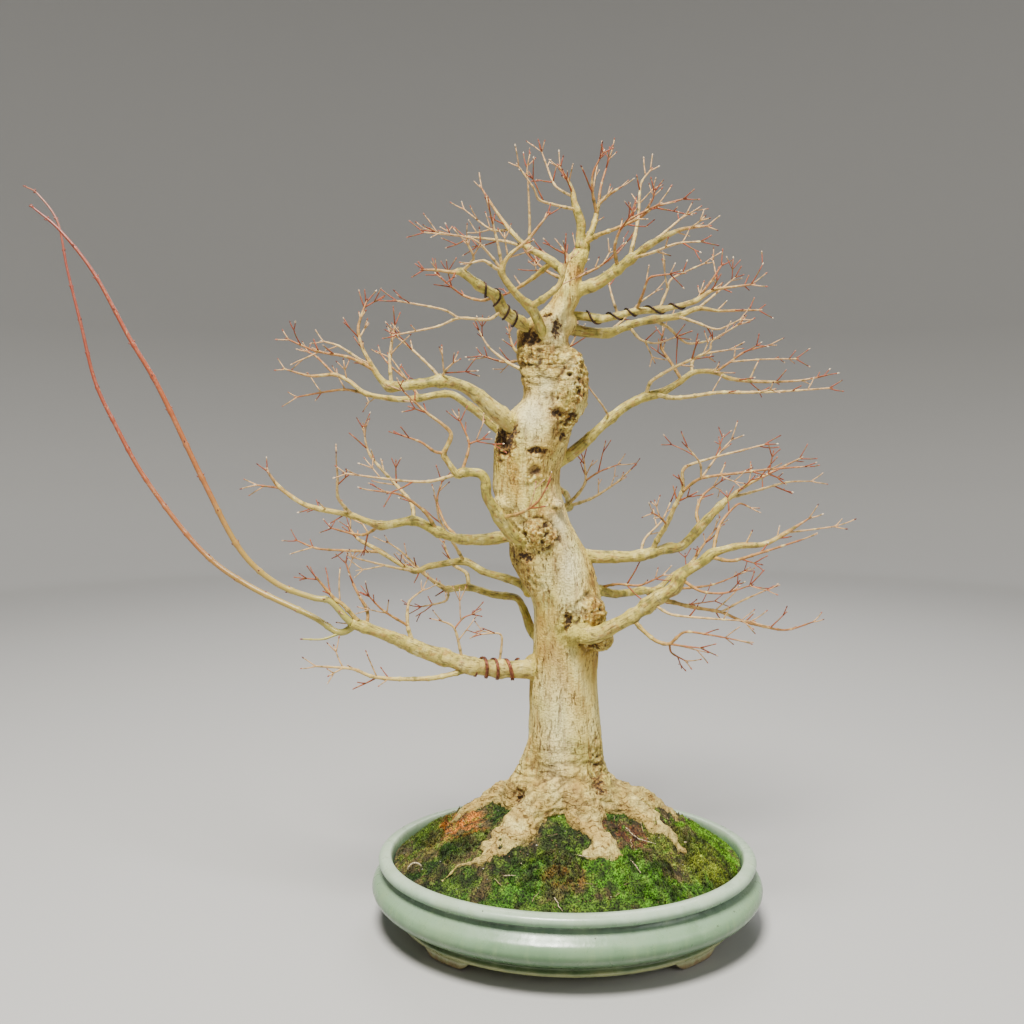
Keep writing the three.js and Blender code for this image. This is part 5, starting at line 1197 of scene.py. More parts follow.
def make_soil(material):
    around = ring_directions(ring_angles(SOIL_SIDES))
    top_shares = [around * share for share in np.linspace(1, 0.004, SOIL_ROWS)]
    rings = [oval_ring(FLOOR_INSET + SOIL_GAP, POT_FLOOR_Z + SOIL_GAP, SOIL_SIDES)]
    slope_inset = FLOOR_INSET - FLOOR_SLOPE_WIDTH + SOIL_GAP
    rings.append(oval_ring(slope_inset, POT_FLOOR_Z + FLOOR_SLOPE_HEIGHT + SOIL_GAP, SOIL_SIDES))
    rings += [ground_points(shares) for shares in top_shares]
    tones = [np.tile(np.array(SOIL_BASE_TONE), (2 * SOIL_SIDES, 1))]
    tones += [ground_tone(shares) for shares in top_shares]
    ends = np.tile(np.array(SOIL_BASE_TONE), (2, 1))
    form = Form()
    form.add_rings(np.array(rings))
    form.values["tone"] = [np.vstack([*tones, ends])]
    add_piece("soil_surface", form.mesh("soil_surface"), material, "soil", "soil")


def moss_outline(at, angles):
    """How far a cushion's edge stands out at each angle."""
    return 1 + 0.14 * np.sin(3 * angles + at[0] * 9)


def moss_height(shares, at, half, rise):
    """How high a moss cushion stands above the ground, with no rise outside its edge."""
    across = (shares - at) / half
    angles = np.arctan2(across[:, 1], across[:, 0])
    out = np.linalg.norm(across, axis=1) / moss_outline(at, angles)
    return 1 + rise * np.sqrt(np.clip(1 - out**2, 0, 1))


def make_moss(name, at, half, rise, material, random):
    angles = ring_angles(MOSS_SIDES)
    around = ring_directions(angles) * moss_outline(at, angles)[:, None]
    form = Form()
    rings = []
    tones = []
    for share in np.linspace(1, 0.01, MOSS_ROWS):
        shares = np.array(at) + around * half * share
        points = ground_points(shares)
        height = moss_height(shares, at, half, rise)
        cushions = np.abs(rough_noise(points, 9, 53)) * 2.6 + rough_noise(points, 3, 59) * 0.7
        edge = min(1.0, (1 - share) / 0.12)
        points[:, 2] += height * (0.25 + 0.75 * edge) - 1 + (cushions - 1) * edge
        rings.append(points)
        tones.append(moss_tone(shares, cushions))
    below = rings[0].copy()
    below[:, 2] -= 4
    form.add_rings(np.array([below, *rings]))
    form.values["tone"] = [np.vstack([tones[0], *tones, tones[0][:1], tones[-1][:1]])]
    area = math.pi * half[0] * half[1] * SOIL_HALF_LENGTH * SOIL_HALF_WIDTH
    count = int(area * CUSHION_TUFTS)
    turn = random.uniform(0, FULL_TURN, count)
    out = np.sqrt(random.uniform(0, 1, count))[:, None] * 1.02
    spread = ring_directions(turn) * moss_outline(at, turn)[:, None]
    shares = np.array(at) + spread * out * half
    height = moss_height(shares, at, half, rise)
    roots = ground_points(shares, height - 0.6)
    add_blades(form, roots, ground_tone(shares) * 1.15 + [0.01, 0.02, 0], random, 2.6)
    add_piece(f"{name}_cushion", form.mesh(name), material, "moss", name)


def moss_tone(shares, cushions):
    """Moss in the ground's own colour, turned to green, with painted shade in the dips between its cushions
    and painted light on their tops.
    """
    green = ground_tone(shares) * 0.7 + np.array([0.015, 0.035, 0.004])
    return green * np.clip(0.55 + 0.3 * cushions, 0.3, 1.3)[:, None]


def add_blades(form, roots, tones, random, height):
    """Small tufts of four thin leaves at each of these points."""
    count = len(roots)
    turn = random.uniform(0, FULL_TURN, (count, 1)) + ring_angles(BLADES_IN_TUFT)
    tall = height * random.uniform(0.5, 1.15, (count, BLADES_IN_TUFT))
    lean = tall * random.uniform(0.25, 0.8, (count, BLADES_IN_TUFT))
    out = np.stack([np.cos(turn), np.sin(turn), np.zeros_like(turn)], axis=-1)
    side = np.stack([-np.sin(turn), np.cos(turn), np.zeros_like(turn)], axis=-1)
    side = side * BLADE_HALF_WIDTH
    base = roots[:, None] - UP * 0.5
    tip = roots[:, None] + out * lean[..., None] + UP * tall[..., None]
    corners = np.stack([base - side, base + side, tip], axis=2).reshape(-1, 3)
    triangles = np.arange(len(corners)).reshape(-1, 3)
    bright = random.uniform(0.6, 1.5, (count, BLADES_IN_TUFT, 1, 1))
    levels = np.array([0.55, 0.55, 1.25])[:, None]
    tone = tones[:, None, None, :] * bright * levels
    form.add(corners, triangles=triangles, tone=tone.reshape(-1, 3))


def make_moss_film(material, random):
    """Fine moss that grows thinly over the rest of the soil."""
    turn = random.uniform(0, FULL_TURN, FILM_TUFTS)
    out = np.sqrt(random.uniform(0, 1, FILM_TUFTS)) * 0.985
    shares = ring_directions(turn) * out[:, None]
    tones = ground_tone(shares)
    greenness = tones[:, 1] / tones.sum(axis=1)
    kept = random.uniform(0, 1, FILM_TUFTS) < np.clip((greenness - 0.3) * 4.5, 0.18, 1)
    form = Form()
    add_blades(form, ground_points(shares[kept]), tones[kept] * 1.25, random, 1.9)
    add_piece("moss_film", form.mesh("moss_film"), material, "moss")


# Fallen sticks: start and end as shares of the soil's half sizes, and radius.
STICKS = [
    ((-0.3, -0.74), (-0.09, -0.7), 0.8), ((-0.06, -0.63), (0.1, -0.67), 0.8),
    ((0.64, -0.35), (0.78, -0.18), 0.8), ((-0.36, -0.72), (-0.26, -0.74), 0.6),
    ((-0.27, -0.66), (-0.2, -0.75), 0.6), ((-0.13, -0.8), (-0.07, -0.76), 0.9),
    ((0.31, -0.66), (0.42, -0.78), 0.6), ((-0.08, -0.62), (-0.07, -0.68), 0.6),
    ((0.84, -0.3), (0.9, -0.28), 0.8), ((-0.1, -0.9), (-0.06, -0.97), 0.6),
    ((0.31, -0.38), (0.38, -0.45), 0.6), ((0.37, -0.44), (0.47, -0.44), 0.5),
]


def make_litter(material, random):
    form = Form()
    for start, end, radius in STICKS:
        add_stick(form, np.array(start), np.array(end), radius, (0.62, 0.5, 0.32), random)
    for _ in range(SMALL_STICKS):
        start = random_share(random)
        angle = random.uniform(0, FULL_TURN)
        reach = random.uniform(0.02, 0.07)
        end = start + reach * np.array([math.cos(angle), math.sin(angle)])
        tone = random.uniform(0.5, 1.1) * np.array([0.42, 0.3, 0.16])
        add_stick(form, start, end, random.uniform(0.3, 0.5), tone, random)
    for _ in range(CRUMBS):
        share = random_share(random)
        size = random.uniform(0.5, 1.5)
        pale = random.uniform() < 0.16
        tone = np.array([0.62, 0.58, 0.5] if pale else [0.16, 0.09, 0.04]) * random.uniform(0.5, 1.4)
        add_crumb(form, ground_points(share[None], 0.4)[0], size * (0.8 if pale else 1), tone, random)
    add_curled_stem(form)
    add_piece("fallen_litter", form.mesh("fallen_litter"), material, "soil")


def random_share(random):
    angle = random.uniform(0, FULL_TURN)
    return math.sqrt(random.uniform(0, 1)) * 0.95 * np.array([math.cos(angle), math.sin(angle)])


def add_stick(form, start, end, radius, tone, random):
    count = 6
    shares = start + (end - start) * np.linspace(0, 1, count)[:, None]
    shares[1:-1] += random.normal(0, 0.003, (count - 2, 2))
    heights = soil_height(shares)
    line = np.linspace(heights[0], heights[-1], count)
    places = shares * SOIL_HALF_SIZES
    lift = max(0.0, float((heights - line).max())) * 0.6
    path = np.column_stack([places, line + lift + radius + 2.2, np.linspace(radius, radius * 0.6, count)])
    form.add_tube(path, 6, tone=np.asarray(tone, float))


def add_crumb(form, centre, size, tone, random):
    """An uneven grain with eight faces."""
    axes = np.array([[1, 0, 0], [0, 1, 0], [-1, 0, 0], [0, -1, 0], [0, 0, 0.7], [0, 0, -0.7]])
    corners = centre + axes * size * random.uniform(0.6, 1.3, (6, 1))
    faces = [[i, (i + 1) % 4, 4] for i in range(4)] + [[(i + 1) % 4, i, 5] for i in range(4)]
    form.add(corners, triangles=faces, tone=np.asarray(tone), grain=np.zeros(3), girth=size)


def add_curled_stem(form):
    """A dry stem near the left rim that hooks over at its end."""
    turns = np.linspace(0, 1.35 * math.pi, 16)
    x = -158 - 7 * np.cos(turns)
    z = 80 + 7 * np.sin(turns)
    hook = np.column_stack([x, np.full(16, -54.0) + turns, z, np.full(16, 0.8)])
    form.add_tube(hook, 6, tone=np.array([0.62, 0.52, 0.34]))


# ---- trunk and surface roots ----
# Craggy places on the trunk: centre above the tree's base line, reach, and strength.
CRAGS = [
    ((4, -24, 440), (20, 26, 36), 1.0), ((12, -20, 470), (16, 24, 24), 0.9),
    ((20, -22, 214), (21, 24, 25), 1.0), ((-32, -34, 300), (19, 20, 18), 1.0),
    ((-62, -16, 398), (18, 20, 22), 0.9), ((30, -28, 190), (16, 18, 12), 1.0),
    ((-62, -14, 334), (14, 16, 10), 0.8), ((-14, -32, 333), (8, 12, 9), 0.9),
    ((-40, -26, 372), (24, 22, 18), 0.75), ((-34, -24, 478), (22, 20, 16), 0.8),
    ((-46, -24, 262), (20, 20, 24), 0.55), ((-34, -6, 160), (12, 14, 10), 0.6),
    ((30, -24, 60), (12, 24, 18), 0.5), ((-6, 30, 420), (26, 20, 40), 0.8),
    ((10, 28, 250), (26, 20, 30), 0.7), ((-30, 26, 330), (20, 18, 24), 0.6),
]
# Smooth pale strips between the crags: centre, reach, and strength.
PALE_STRIPS = [
    ((-8, -34, 318), (11, 24, 30), 1.0), ((0, -34, 268), (11, 24, 34), 1.0),
    ((-38, -32, 424), (16, 24, 20), 1.0), ((-24, -32, 448), (10, 24, 16), 0.8),
    ((-14, -30, 510), (14, 20, 14), 0.8), ((-12, -34, 96), (14, 24, 60), 0.6),
]
# Hollows: centre above the tree's base line, reach, and depth.
HOLLOWS = [
    ((-68, -22, 401), (17, 20, 13), 5), ((-33, -35, 388), (12, 12, 3.4), 3),
    ((-46, -28, 503), (15, 18, 8), 4), ((-12, -28, 510), (6, 12, 8), 3),
    ((-24, -32, 526), (9, 12, 2), 3), ((-13, -34, 426), (9, 12, 4.5), 4),
    ((-46, -34, 279), (11, 12, 4), 3), ((-60, -20, 274), (8, 14, 15), 5),
    ((20, -40, 190), (10, 12, 4.5), 5), ((-4, -28, 402), (6, 10, 6), 3),
    ((-48, -28, 22), (8, 16, 9), 5), ((34, -30, 38), (5, 16, 14), 3),
    ((-1, -32, 208), (3.5, 12, 14), 2.5),
]
# Where the bark lies in folds across the trunk: centre, reach and strength.
FOLDS = [
    ((-32, -20, 480), (34, 40, 28), 1.0), ((-6, 0, 42), (84, 80, 34), 0.9),
    ((-50, -20, 300), (30, 30, 12), 0.6),
]
# The flare at the trunk's foot: height above the base line, and half widths across and deep.
FLARE = [
    (84, 34, 32), (68, 39, 37), (54, 45, 42), (42, 51, 46), (32, 57, 50), (22, 61, 53), (10, 63, 55),
    (0, 62, 54),
]
FLARE_MIDDLE = -6
# Knuckles of the roots: place as shares of the soil's half sizes, height, and half sizes.
KNUCKLES = [
    ((0.1, -0.36, -5), (17, 17, 13)), ((0.16, -0.58, -6), (19, 14, 10)), ((-0.3, -0.42, -2), (24, 17, 14)),
    ((-0.41, -0.49, -3), (14, 11, 9)), ((0.42, -0.12, -4), (20, 15, 13)), ((0.55, -0.3, -6), (12, 13, 8)),
    ((-0.36, 0.1, -4), (20, 13, 13)), ((0.46, 0.16, -4), (18, 13, 12)),
]
# Thin roots that run on over the moss: places as shares of the soil's half sizes, and radius.
ROOTLETS = [
    ([(-0.4, -0.5), (-0.52, -0.57), (-0.6, -0.56), (-0.7, -0.6)], 3.6),
    ([(0.18, -0.54), (0.27, -0.6), (0.33, -0.61), (0.38, -0.67)], 3.0),
    ([(0.5, -0.27), (0.6, -0.34), (0.64, -0.42)], 3.0), ([(-0.46, 0.1), (-0.6, 0.02), (-0.68, 0.03)], 3.2),
    ([(0.44, 0.5), (0.52, 0.64), (0.6, 0.66)], 3.2), ([(-0.46, 0.42), (-0.6, 0.52), (-0.66, 0.52)], 3.2),
]
TRUNK_SIDES = 72
TRUNK_VOXEL = 1.4


def tree_points(points):
    """Places above the tree's base line, moved to the pot's own frame."""
    moved = np.array(points, float)
    moved[:, 1] += TREE_BEHIND_MIDDLE
    moved[:, 2] += TREE_Z
    return moved


def toe_paths(root, random):
    """Short toes that leave a root's last stretch to both sides and run down into the soil."""
    toes = []
    for side in (-1, 1):
        start = root[int(len(root) * random.uniform(0.55, 0.75))]
        ahead = unit(root[-1][:3] - root[-8][:3])
        sideways = unit(np.cross(ahead, UP)) * side
        length = random.uniform(20, 32)
        middle = start[:3] + (ahead * 0.7 + sideways * 0.7) * length * 0.5 - UP * 3
        end = start[:3] + (ahead * 0.9 + sideways * 0.8) * length - UP * 13
        radius = start[3]
        toe = [[*start[:3], radius * 0.75], [*middle, radius * 0.58], [*end, radius * 0.3]]
        toes.append(smooth_path(toe, 3))
    return toes


def trunk_axis():
    """The trunk's centre line, with its half widths across and deep."""
    sections = np.array(TRUNK_SECTIONS, float)
    return tree_points(smooth_path(sections[:, [1, 2, 0, 3, 4]], 3, 0.5))


def add_ball(form, centre, half, rows=14, sides=24):
    turns = np.linspace(0.08, math.pi - 0.08, rows)
    angles = ring_angles(sides)
    rings = [
        np.column_stack([np.cos(angles) * math.sin(turn), np.sin(angles) * math.sin(turn),
                         np.full(sides, -math.cos(turn))]) * half + centre
        for turn in turns
    ]
    form.add_rings(np.array(rings))


def make_trunk(material, random):
    axis = trunk_axis()
    form = Form()
    angles = ring_angles(TRUNK_SIDES)
    flutes = 1 + 0.03 * np.sin(5 * angles + 1) + 0.02 * np.sin(9 * angles)
    rings = [
        np.column_stack([x + half_x * flutes * np.cos(angles), y + half_y * flutes * np.sin(angles),
                         np.full(TRUNK_SIDES, z)])
        for x, y, z, half_x, half_y in axis
    ]
    form.add_rings(np.array(rings))
    wavy = 1 + 0.05 * np.sin(4 * angles + 0.6) + 0.03 * np.sin(7 * angles + 2)
    flare = [
        np.column_stack([FLARE_MIDDLE + half_x * wavy * np.cos(angles), half_y * wavy * np.sin(angles),
                         np.full(TRUNK_SIDES, height)])
        for height, half_x, half_y in reversed(FLARE)
    ]
    form.add_rings(np.array([tree_points(ring) for ring in flare]))
    for at, half in BURLS:
        add_ball(form, tree_points([at])[0], np.array(half))
    for at, half in KNUCKLES:
        place = ground_points(np.array([at[:2]]), at[2])[0]
        add_ball(form, place, np.array(half))
    lines = [root_path(root) for root in ROOTS]
    lines += [toe for root in lines[:] for toe in toe_paths(root, random)]
    for places, radius in ROOTLETS:
        radii = np.linspace(radius, radius * 0.45, len(places))
        lines.append(smooth_path(np.column_stack([ground_points(np.array(places), 0.4), radii]), 3))
    for line in lines:
        form.add_tube(line, 22)
    collars = []
    for name, (stem, _) in LIMBS.items():
        if name not in LONG_SHOOTS:
            collar = collar_path(tree_points(stem))
            collars.append(collar)
            form.add_tube(collar, 16)
    form.values.clear()
    rough = form.mesh("trunk_rough")
    mesh = with_modifiers(rough, [
        ("REMESH", {"mode": "VOXEL", "voxel_size": TRUNK_VOXEL * MM}),
        ("SMOOTH", {"factor": 0.5, "iterations": 5}),
    ])
    mesh.name = "trunk_bark"
    carve_bark(mesh, collars)
    add_piece("trunk_bark", mesh, material, "bark", "trunk_and_surface_roots")


def collar_path(stem):
    """The swelling where a limb leaves the trunk, which ends inside the limb."""
    limb = smooth_path(stem, 1.5)
    lengths = path_lengths(limb[:, :3])
    reach = 9 + 2.6 * limb[0][3]
    part = limb[lengths < reach].copy()
    share = np.linspace(0, 1, len(part))
    part[:, 3] *= 0.88 + 0.75 * (1 - share)**2
    return part


def cover(points, spots):
    """How much each point is covered by soft ellipsoids: centre, reach and strength."""
    total = np.zeros(len(points))
    for centre, reach, strength in spots:
        far = np.linalg.norm((points - tree_points([centre])[0]) / reach, axis=1)
        total = np.maximum(total, strength * bell(far / 1.1))
    return total


def crag_grooves(points):
    """The furrow that runs round the upper side of each of the strongest crags, which the trunk's material
    darkens with painted shade.
    """
    total = np.zeros(len(points))
    for centre, reach, strength in CRAGS:
        if strength == 1:
            offset = (points - tree_points([centre])[0]) / reach
            far = np.linalg.norm(offset, axis=1) + 0.16 * rough_noise(points, 9, 61)
            total = np.maximum(total, bell((far - 1.12) / 0.08))
    return total * np.clip(0.6 + 0.9 * noise(points, 10, 67), 0, 1)


def carve_bark(mesh, collars):
    """Lumps, fissures, crags and hollows in the trunk, and the numbers its material reads, among them
    painted shade for the fissures, folds, crag dips and furrows, and for the hollows.
    """
    points, normals = mesh_points(mesh)
    above_soil = points[:, 2] - TREE_Z
    root = np.clip((50 - above_soil) / 26, 0, 1)
    crag = cover(points, CRAGS)
    crag *= np.clip(0.75 + 0.8 * noise(points, 12, 3), 0, 1.2)
    collar_tree = KDTree(sum(len(collar) for collar in collars))
    radii = []
    for collar in collars:
        for point in collar:
            collar_tree.insert(point[:3], len(radii))
            radii.append(point[3])
    collar_tree.balance()
    found = [collar_tree.find(point) for point in points]
    collar_gap = np.array([distance - radii[index] for _, index, distance in found])
    collar = np.clip(1 - collar_gap / 5, 0, 1) * np.clip((above_soil - 100) / 30, 0, 1)
    still = 1 - 0.75 * collar
    lumps = rough_noise(points * [1, 1, 0.45], 24, 5) * 1.6 * still
    fissures = 1 - np.abs(rough_noise(points * [1, 1, 0.2], 7, 11, 4)) * 2.4
    fissure_depth = np.clip(fissures - 0.5, 0, 1) * 0.9 * still
    knobs = (rough_noise(points, 13, 17) * 2.6 + rough_noise(points, 4, 18) * 0.9) * root
    folds = cover(points, FOLDS) * still
    folded = 1 - np.abs(rough_noise(points * [0.3, 0.3, 1], 6.5, 19)) * 2.6
    fold_depth = np.clip(folded, 0, 1) * 2.6 * folds
    ridged = 1 - np.abs(rough_noise(points, 8, 23, 4)) * 2
    crag_relief = (ridged * 3.8 + rough_noise(points, 3.6, 29) * 1.6 - 1.1) * crag
    pale = cover(points, PALE_STRIPS)
    hollow = np.zeros(len(points))
    depth = np.zeros(len(points))
    callus = np.zeros(len(points))
    for centre, reach, deep in HOLLOWS:
        far = np.linalg.norm((points - tree_points([centre])[0]) / reach, axis=1)
        far = far + 0.5 * rough_noise(points, 7, 47)
        shape = bell(far / 1.1)
        hollow = np.maximum(hollow, shape)
        depth = np.maximum(depth, shape * deep)
        callus = np.maximum(callus, bell((far - 1.45) / 0.35) * 1.1)
    groove = crag_grooves(points)
    shift = lumps - fissure_depth + knobs - fold_depth + crag_relief - depth + callus - groove * 1.8
    move_points(mesh, points + normals * shift[:, None])
    # Painted shade: how much the material darkens the fissures, folds, dips in the crags and the furrows
    # round them.
    painted_cavity_shade = np.clip(fissure_depth * 0.35 + fold_depth * 0.4, 0, 0.8)
    painted_cavity_shade = np.maximum(painted_cavity_shade, np.clip(-crag_relief * 0.5, 0, 0.95))
    painted_cavity_shade = np.maximum(painted_cavity_shade, groove * 0.9)
    near_soil = np.clip((14 - (points[:, 2] - soil_level(points))) / 16, 0, 1)
    keep_values(mesh, {
        "root": root, "fold": folds, "crag": crag, "pale": pale * (1 - crag), "collar": collar * 0.85,
        "painted_cavity_shade": painted_cavity_shade, "shade": np.clip(hollow * 1.5 - 0.1, 0, 0.96), "damp": near_soil * 0.7,
    })


def soil_level(points):
    """Height of the soil's dome under each point."""
    return dome_height(points[:, :2] / SOIL_HALF_SIZES)


# ---- limbs, shoots and twigs ----
NODE_SPACING = 15
LONG_SHOOT_SPACING = 36
TWIG_LENGTHS = (14, 44)
TWIG_FORKS = 1
THICKEST_WITH_TWIGS = 3.4
TWIG_CLEAR_OF_TRUNK = 6
RED_SHARE = 0.5
# How far past the CAD model's box a twig may end, in X, Y and Z.
CAD_ROOM = (14, 14, 20)


def limb_swell(seed, forks):
    """The unevenness of a limb: knuckles at its forks and old nodes, and long lumps."""
    def swell(lengths, angles):
        knuckle = 0.12 * bell(((lengths + seed * 7) % 31 - 15) / 2.5)
        for fork in forks:
            knuckle = knuckle + 0.2 * bell((lengths - fork) / 5)
        lumps = 0.07 * np.sin(lengths / 9 + seed + 1.7 * np.sin(angles + seed))
        return knuckle + lumps + 0.07 * np.sin(2 * angles + lengths / 17)
    return swell


def fork_lengths(path, shoots):
    """How far along a limb each of its side shoots leaves it."""
    lengths = path_lengths(path[:, :3])
    feet = [tree_points(shoot)[0][:3] for shoot in shoots]
    return [lengths[int(np.linalg.norm(path[:, :3] - foot, axis=1).argmin())] for foot in feet]


def shoot_swell(lengths, angles):
    """Slim shoots swell a little at each node."""
    return 0.32 * bell(((lengths + 5) % NODE_SPACING - 5) / 1.3) + 0 * angles


def add_bud(form, start, heading, size, random):
    """A small pointed bud."""
    heading = unit(heading)
    shares = np.array([0.0, 0.3, 0.6, 0.85, 1.0])
    radii = np.array([0.55, 1.0, 0.82, 0.42, 0.12]) * size
    centres = start + heading * (shares * size * 3.4)[:, None]
    look = random.choice([0.15, 0.3, 0.5, 0.8, 1.0], p=[0.2, 0.25, 0.2, 0.2, 0.15])
    form.add_tube(np.column_stack([centres, radii]), 6, tint=1.0, bud=look)


def inside_room(point):
    """True if a twig may end here: near enough to the CAD model's box."""
    low = (np.array(cad_box[0]) - POT_MIDDLE) / MM - CAD_ROOM
    high = (np.array(cad_box[1]) - POT_MIDDLE) / MM + CAD_ROOM
    return bool(np.all(point > low) and np.all(point < high))


def clear_of_trunk(point, axis):
    """True if a point stands outside the trunk."""
    level = int(np.abs(axis[:, 2] - point[2]).argmin())
    x, y, _, half_x, half_y = axis[level]
    across = (point[0] - x) / (half_x + TWIG_CLEAR_OF_TRUNK)
    deep = (point[1] - y) / (half_y + TWIG_CLEAR_OF_TRUNK)
    return across**2 + deep**2 > 1


def grow_twig(form, start, heading, length, radius, tint, random, depth, axis):
    """A twig that leans up as it grows, with forks and buds."""
    count = max(3, round(length / 6))
    points = [start]
    heading = unit(heading)
    lift = random.uniform(0.0, 0.07)
    for _ in range(count):
        heading = unit(heading + UP * lift + random.normal(0, 0.045, 3))
        points.append(points[-1] + heading * length / count)
    points = np.array(points)
    if not inside_room(points[-1]) or not clear_of_trunk(points[-1], axis):
        return
    radii = np.linspace(radius, max(TIP_RADIUS, radius * 0.65), count + 1)
    form.add_tube(np.column_stack([points, radii]), 6, tint=tint, bud=0.0)
    add_bud(form, points[-1] - heading * 0.4, heading, random.uniform(0.65, 0.9), random)
    if depth == 0:
        return
    fork = points[max(1, round(count * random.uniform(0.45, 0.95)))]
    if length > 17 and random.uniform() < 0.7:
        sideways = unit(np.cross(heading, random.normal(0, 1, 3)))
        for side in (-1, 1):
            if random.uniform() < 0.8:
                aim = heading * 0.75 + sideways * side * 0.62 + UP * 0.1
                reach = length * random.uniform(0.35, 0.65)
                grow_twig(form, fork, aim, reach, radius * 0.78, tint, random, depth - 1, axis)


def grow_from(form, path, random, axis, start_share):
    """Twigs in opposite pairs along the thin part of a shoot, each pair across from the last."""
    lengths = path_lengths(path[:, :3])
    along, across, beside = path_frames(path[:, :3])
    distance = lengths[-1] * start_share + random.uniform(0, NODE_SPACING)
    quarter = 0
    while distance < lengths[-1] - 2:
        i = int(np.searchsorted(lengths, distance))
        thick = path[i][3]
        if thick < THICKEST_WITH_TWIGS and random.uniform() < 0.7:
            spin = quarter * math.pi / 2 + random.normal(0, 0.35)
            plane = across[i] * math.cos(spin) + beside[i] * math.sin(spin)
            for side in (-1, 1):
                aim = along[i] * random.uniform(0.6, 1.1) + plane * side + UP * 0.28
                if random.uniform() < 0.66:
                    remaining = 0.5 + 0.5 * (lengths[-1] - distance) / lengths[-1]
                    length = random.uniform(*TWIG_LENGTHS) * remaining
                    tint = 1.0 if random.uniform() < RED_SHARE else random.uniform(0, 0.3)
                    radius = min(TWIG_RADIUS * random.uniform(0.85, 1.2), thick * 0.8)
                    grow_twig(form, path[i][:3], aim, length, radius, tint, random, TWIG_FORKS, axis)
        quarter += 1
        distance += NODE_SPACING * random.uniform(0.75, 1.4)
    tip_tint = 1.0 if random.uniform() < RED_SHARE else 0.1
    sideways = unit(np.cross(along[-1], random.normal(0, 1, 3)))
    for side in (-1, 1):
        aim = along[-1] + sideways * side * 0.55
        grow_twig(form, path[-2][:3], aim, random.uniform(9, 20), 0.7, tip_tint, random, 0, axis)
    add_bud(form, path[-1][:3], along[-1], 0.85, random)


def make_limb(name, material, random, axis):
    stem, shoots = LIMBS[name]
    form = Form()
    path = smooth_path(tree_points(stem), 2.5)
    path[:, 3] = np.maximum(path[:, 3], TIP_RADIUS + 0.15)
    swell = limb_swell(len(name), fork_lengths(path, shoots))
    form.add_tube(path, 20, swell=swell, tint=0.75, bud=0.0)
    grow_from(form, path, random, axis, 0.55)
    for shoot in shoots:
        line = smooth_path(tree_points(shoot), 2.0)
        line[:, 3] = np.maximum(line[:, 3] * 0.92, TIP_RADIUS + 0.1)
        tint = 0.9 if random.uniform() < RED_SHARE else 0.25
        form.add_tube(line, 10, swell=shoot_swell, tint=tint, bud=0.0)
        grow_from(form, line, random, axis, 0.3)
    add_piece(f"{name}_wood", form.mesh(f"{name}_wood"), material, "limb_bark", name)


def make_long_shoot(name, material, random):
    """A vigorous young shoot with a pair of buds at each node and a fine dry tip."""
    stem, shoots = LIMBS[name]
    form = Form()
    limb_end = LIMBS[SHOOTING_LIMB][0][-1][:3]
    path = smooth_path(tree_points([[*limb_end, stem[0][3]], *stem]), 2.5, 0.5)
    path[:, 3] = np.maximum(path[:, 3], TIP_RADIUS + 0.15)

    def swell(lengths, angles):
        return 0.22 * bell(((lengths + 9) % LONG_SHOOT_SPACING - 9) / 1.8) + 0 * angles

    form.add_tube(path, 12, swell=swell, tint=1.0, bud=0.0)
    lengths = path_lengths(path[:, :3])
    along, across, beside = path_frames(path[:, :3])
    nodes = np.arange(LONG_SHOOT_SPACING, lengths[-1] - 8, LONG_SHOOT_SPACING)
    for number, distance in enumerate(nodes):
        i = int(np.searchsorted(lengths, distance))
        plane = across[i] if number % 2 else beside[i]
        for side in (-1, 1):
            start = path[i][:3] + plane * side * path[i][3] * 0.8
            add_bud(form, start, along[i] * 1.5 + plane * side, 0.9, random)
    for side in (-1, 0, 1):
        add_bud(form, path[-1][:3], along[-1] * 2 + across[-1] * side, 1.0, random)
    for shoot in shoots:
        line = smooth_path(tree_points(shoot), 2.0)
        form.add_tube(line, 8, swell=shoot_swell, tint=0.8, bud=0.0)
        add_bud(form, line[-1][:3], line[-1][:3] - line[-2][:3], 0.9, random)
    add_piece(f"{name}_wood", form.mesh(f"{name}_wood"), material, "young_shoot", name)


def make_shoot_look():
    """Young wood: yellow-green at its base, then orange, red, and pale at the tip."""
    look = Look("young_shoot_bark", Roughness=0.42, Coat_Weight=0.15, Coat_Roughness=0.3)
    grain = look.vector("grain")
    along = look.node("ShaderNodeSeparateXYZ")
    look.join(grain, along.inputs["Vector"])
    patches = look.noise(grain, 24, 3.0)
    shift = look.range(patches, 0.3, 0.7, -25, 25)
    share = look.range(look.maths("ADD", along.outputs["Z"], shift), 0, 760)
    colour = look.ramp(share, [
        (0.0, (0.4, 0.36, 0.07)), (0.14, (0.4, 0.27, 0.05)), (0.28, (0.36, 0.13, 0.03)),
        (0.45, (0.3, 0.06, 0.022)), (0.7, (0.25, 0.045, 0.026)), (0.85, (0.34, 0.14, 0.08)),
        (0.94, (0.62, 0.47, 0.38)), (1.0, (0.1, 0.065, 0.05)),
    ])
    lenticels = look.noise(look.stretch(grain, 1, 1, 0.5), 1.3, 2.0)
    colour = look.mix(look.range(lenticels, 0.64, 0.72, 0, 0.5), colour, (0.6, 0.42, 0.2))
    bloom = look.noise(grain, 7, 3.0)
    colour = look.mix(look.range(bloom, 0.55, 0.75, 0, 0.25), colour, (0.5, 0.26, 0.16))
    colour = look.mix(look.range(look.value("bud"), 0.02, 0.06), colour, (0.2, 0.05, 0.03))
    return look.finish(colour, lenticels, depth=0.25)


# ---- training wires ----
# How far round the limb a second strand lies from the first, in radians.
STRAND_LAG = 0.75


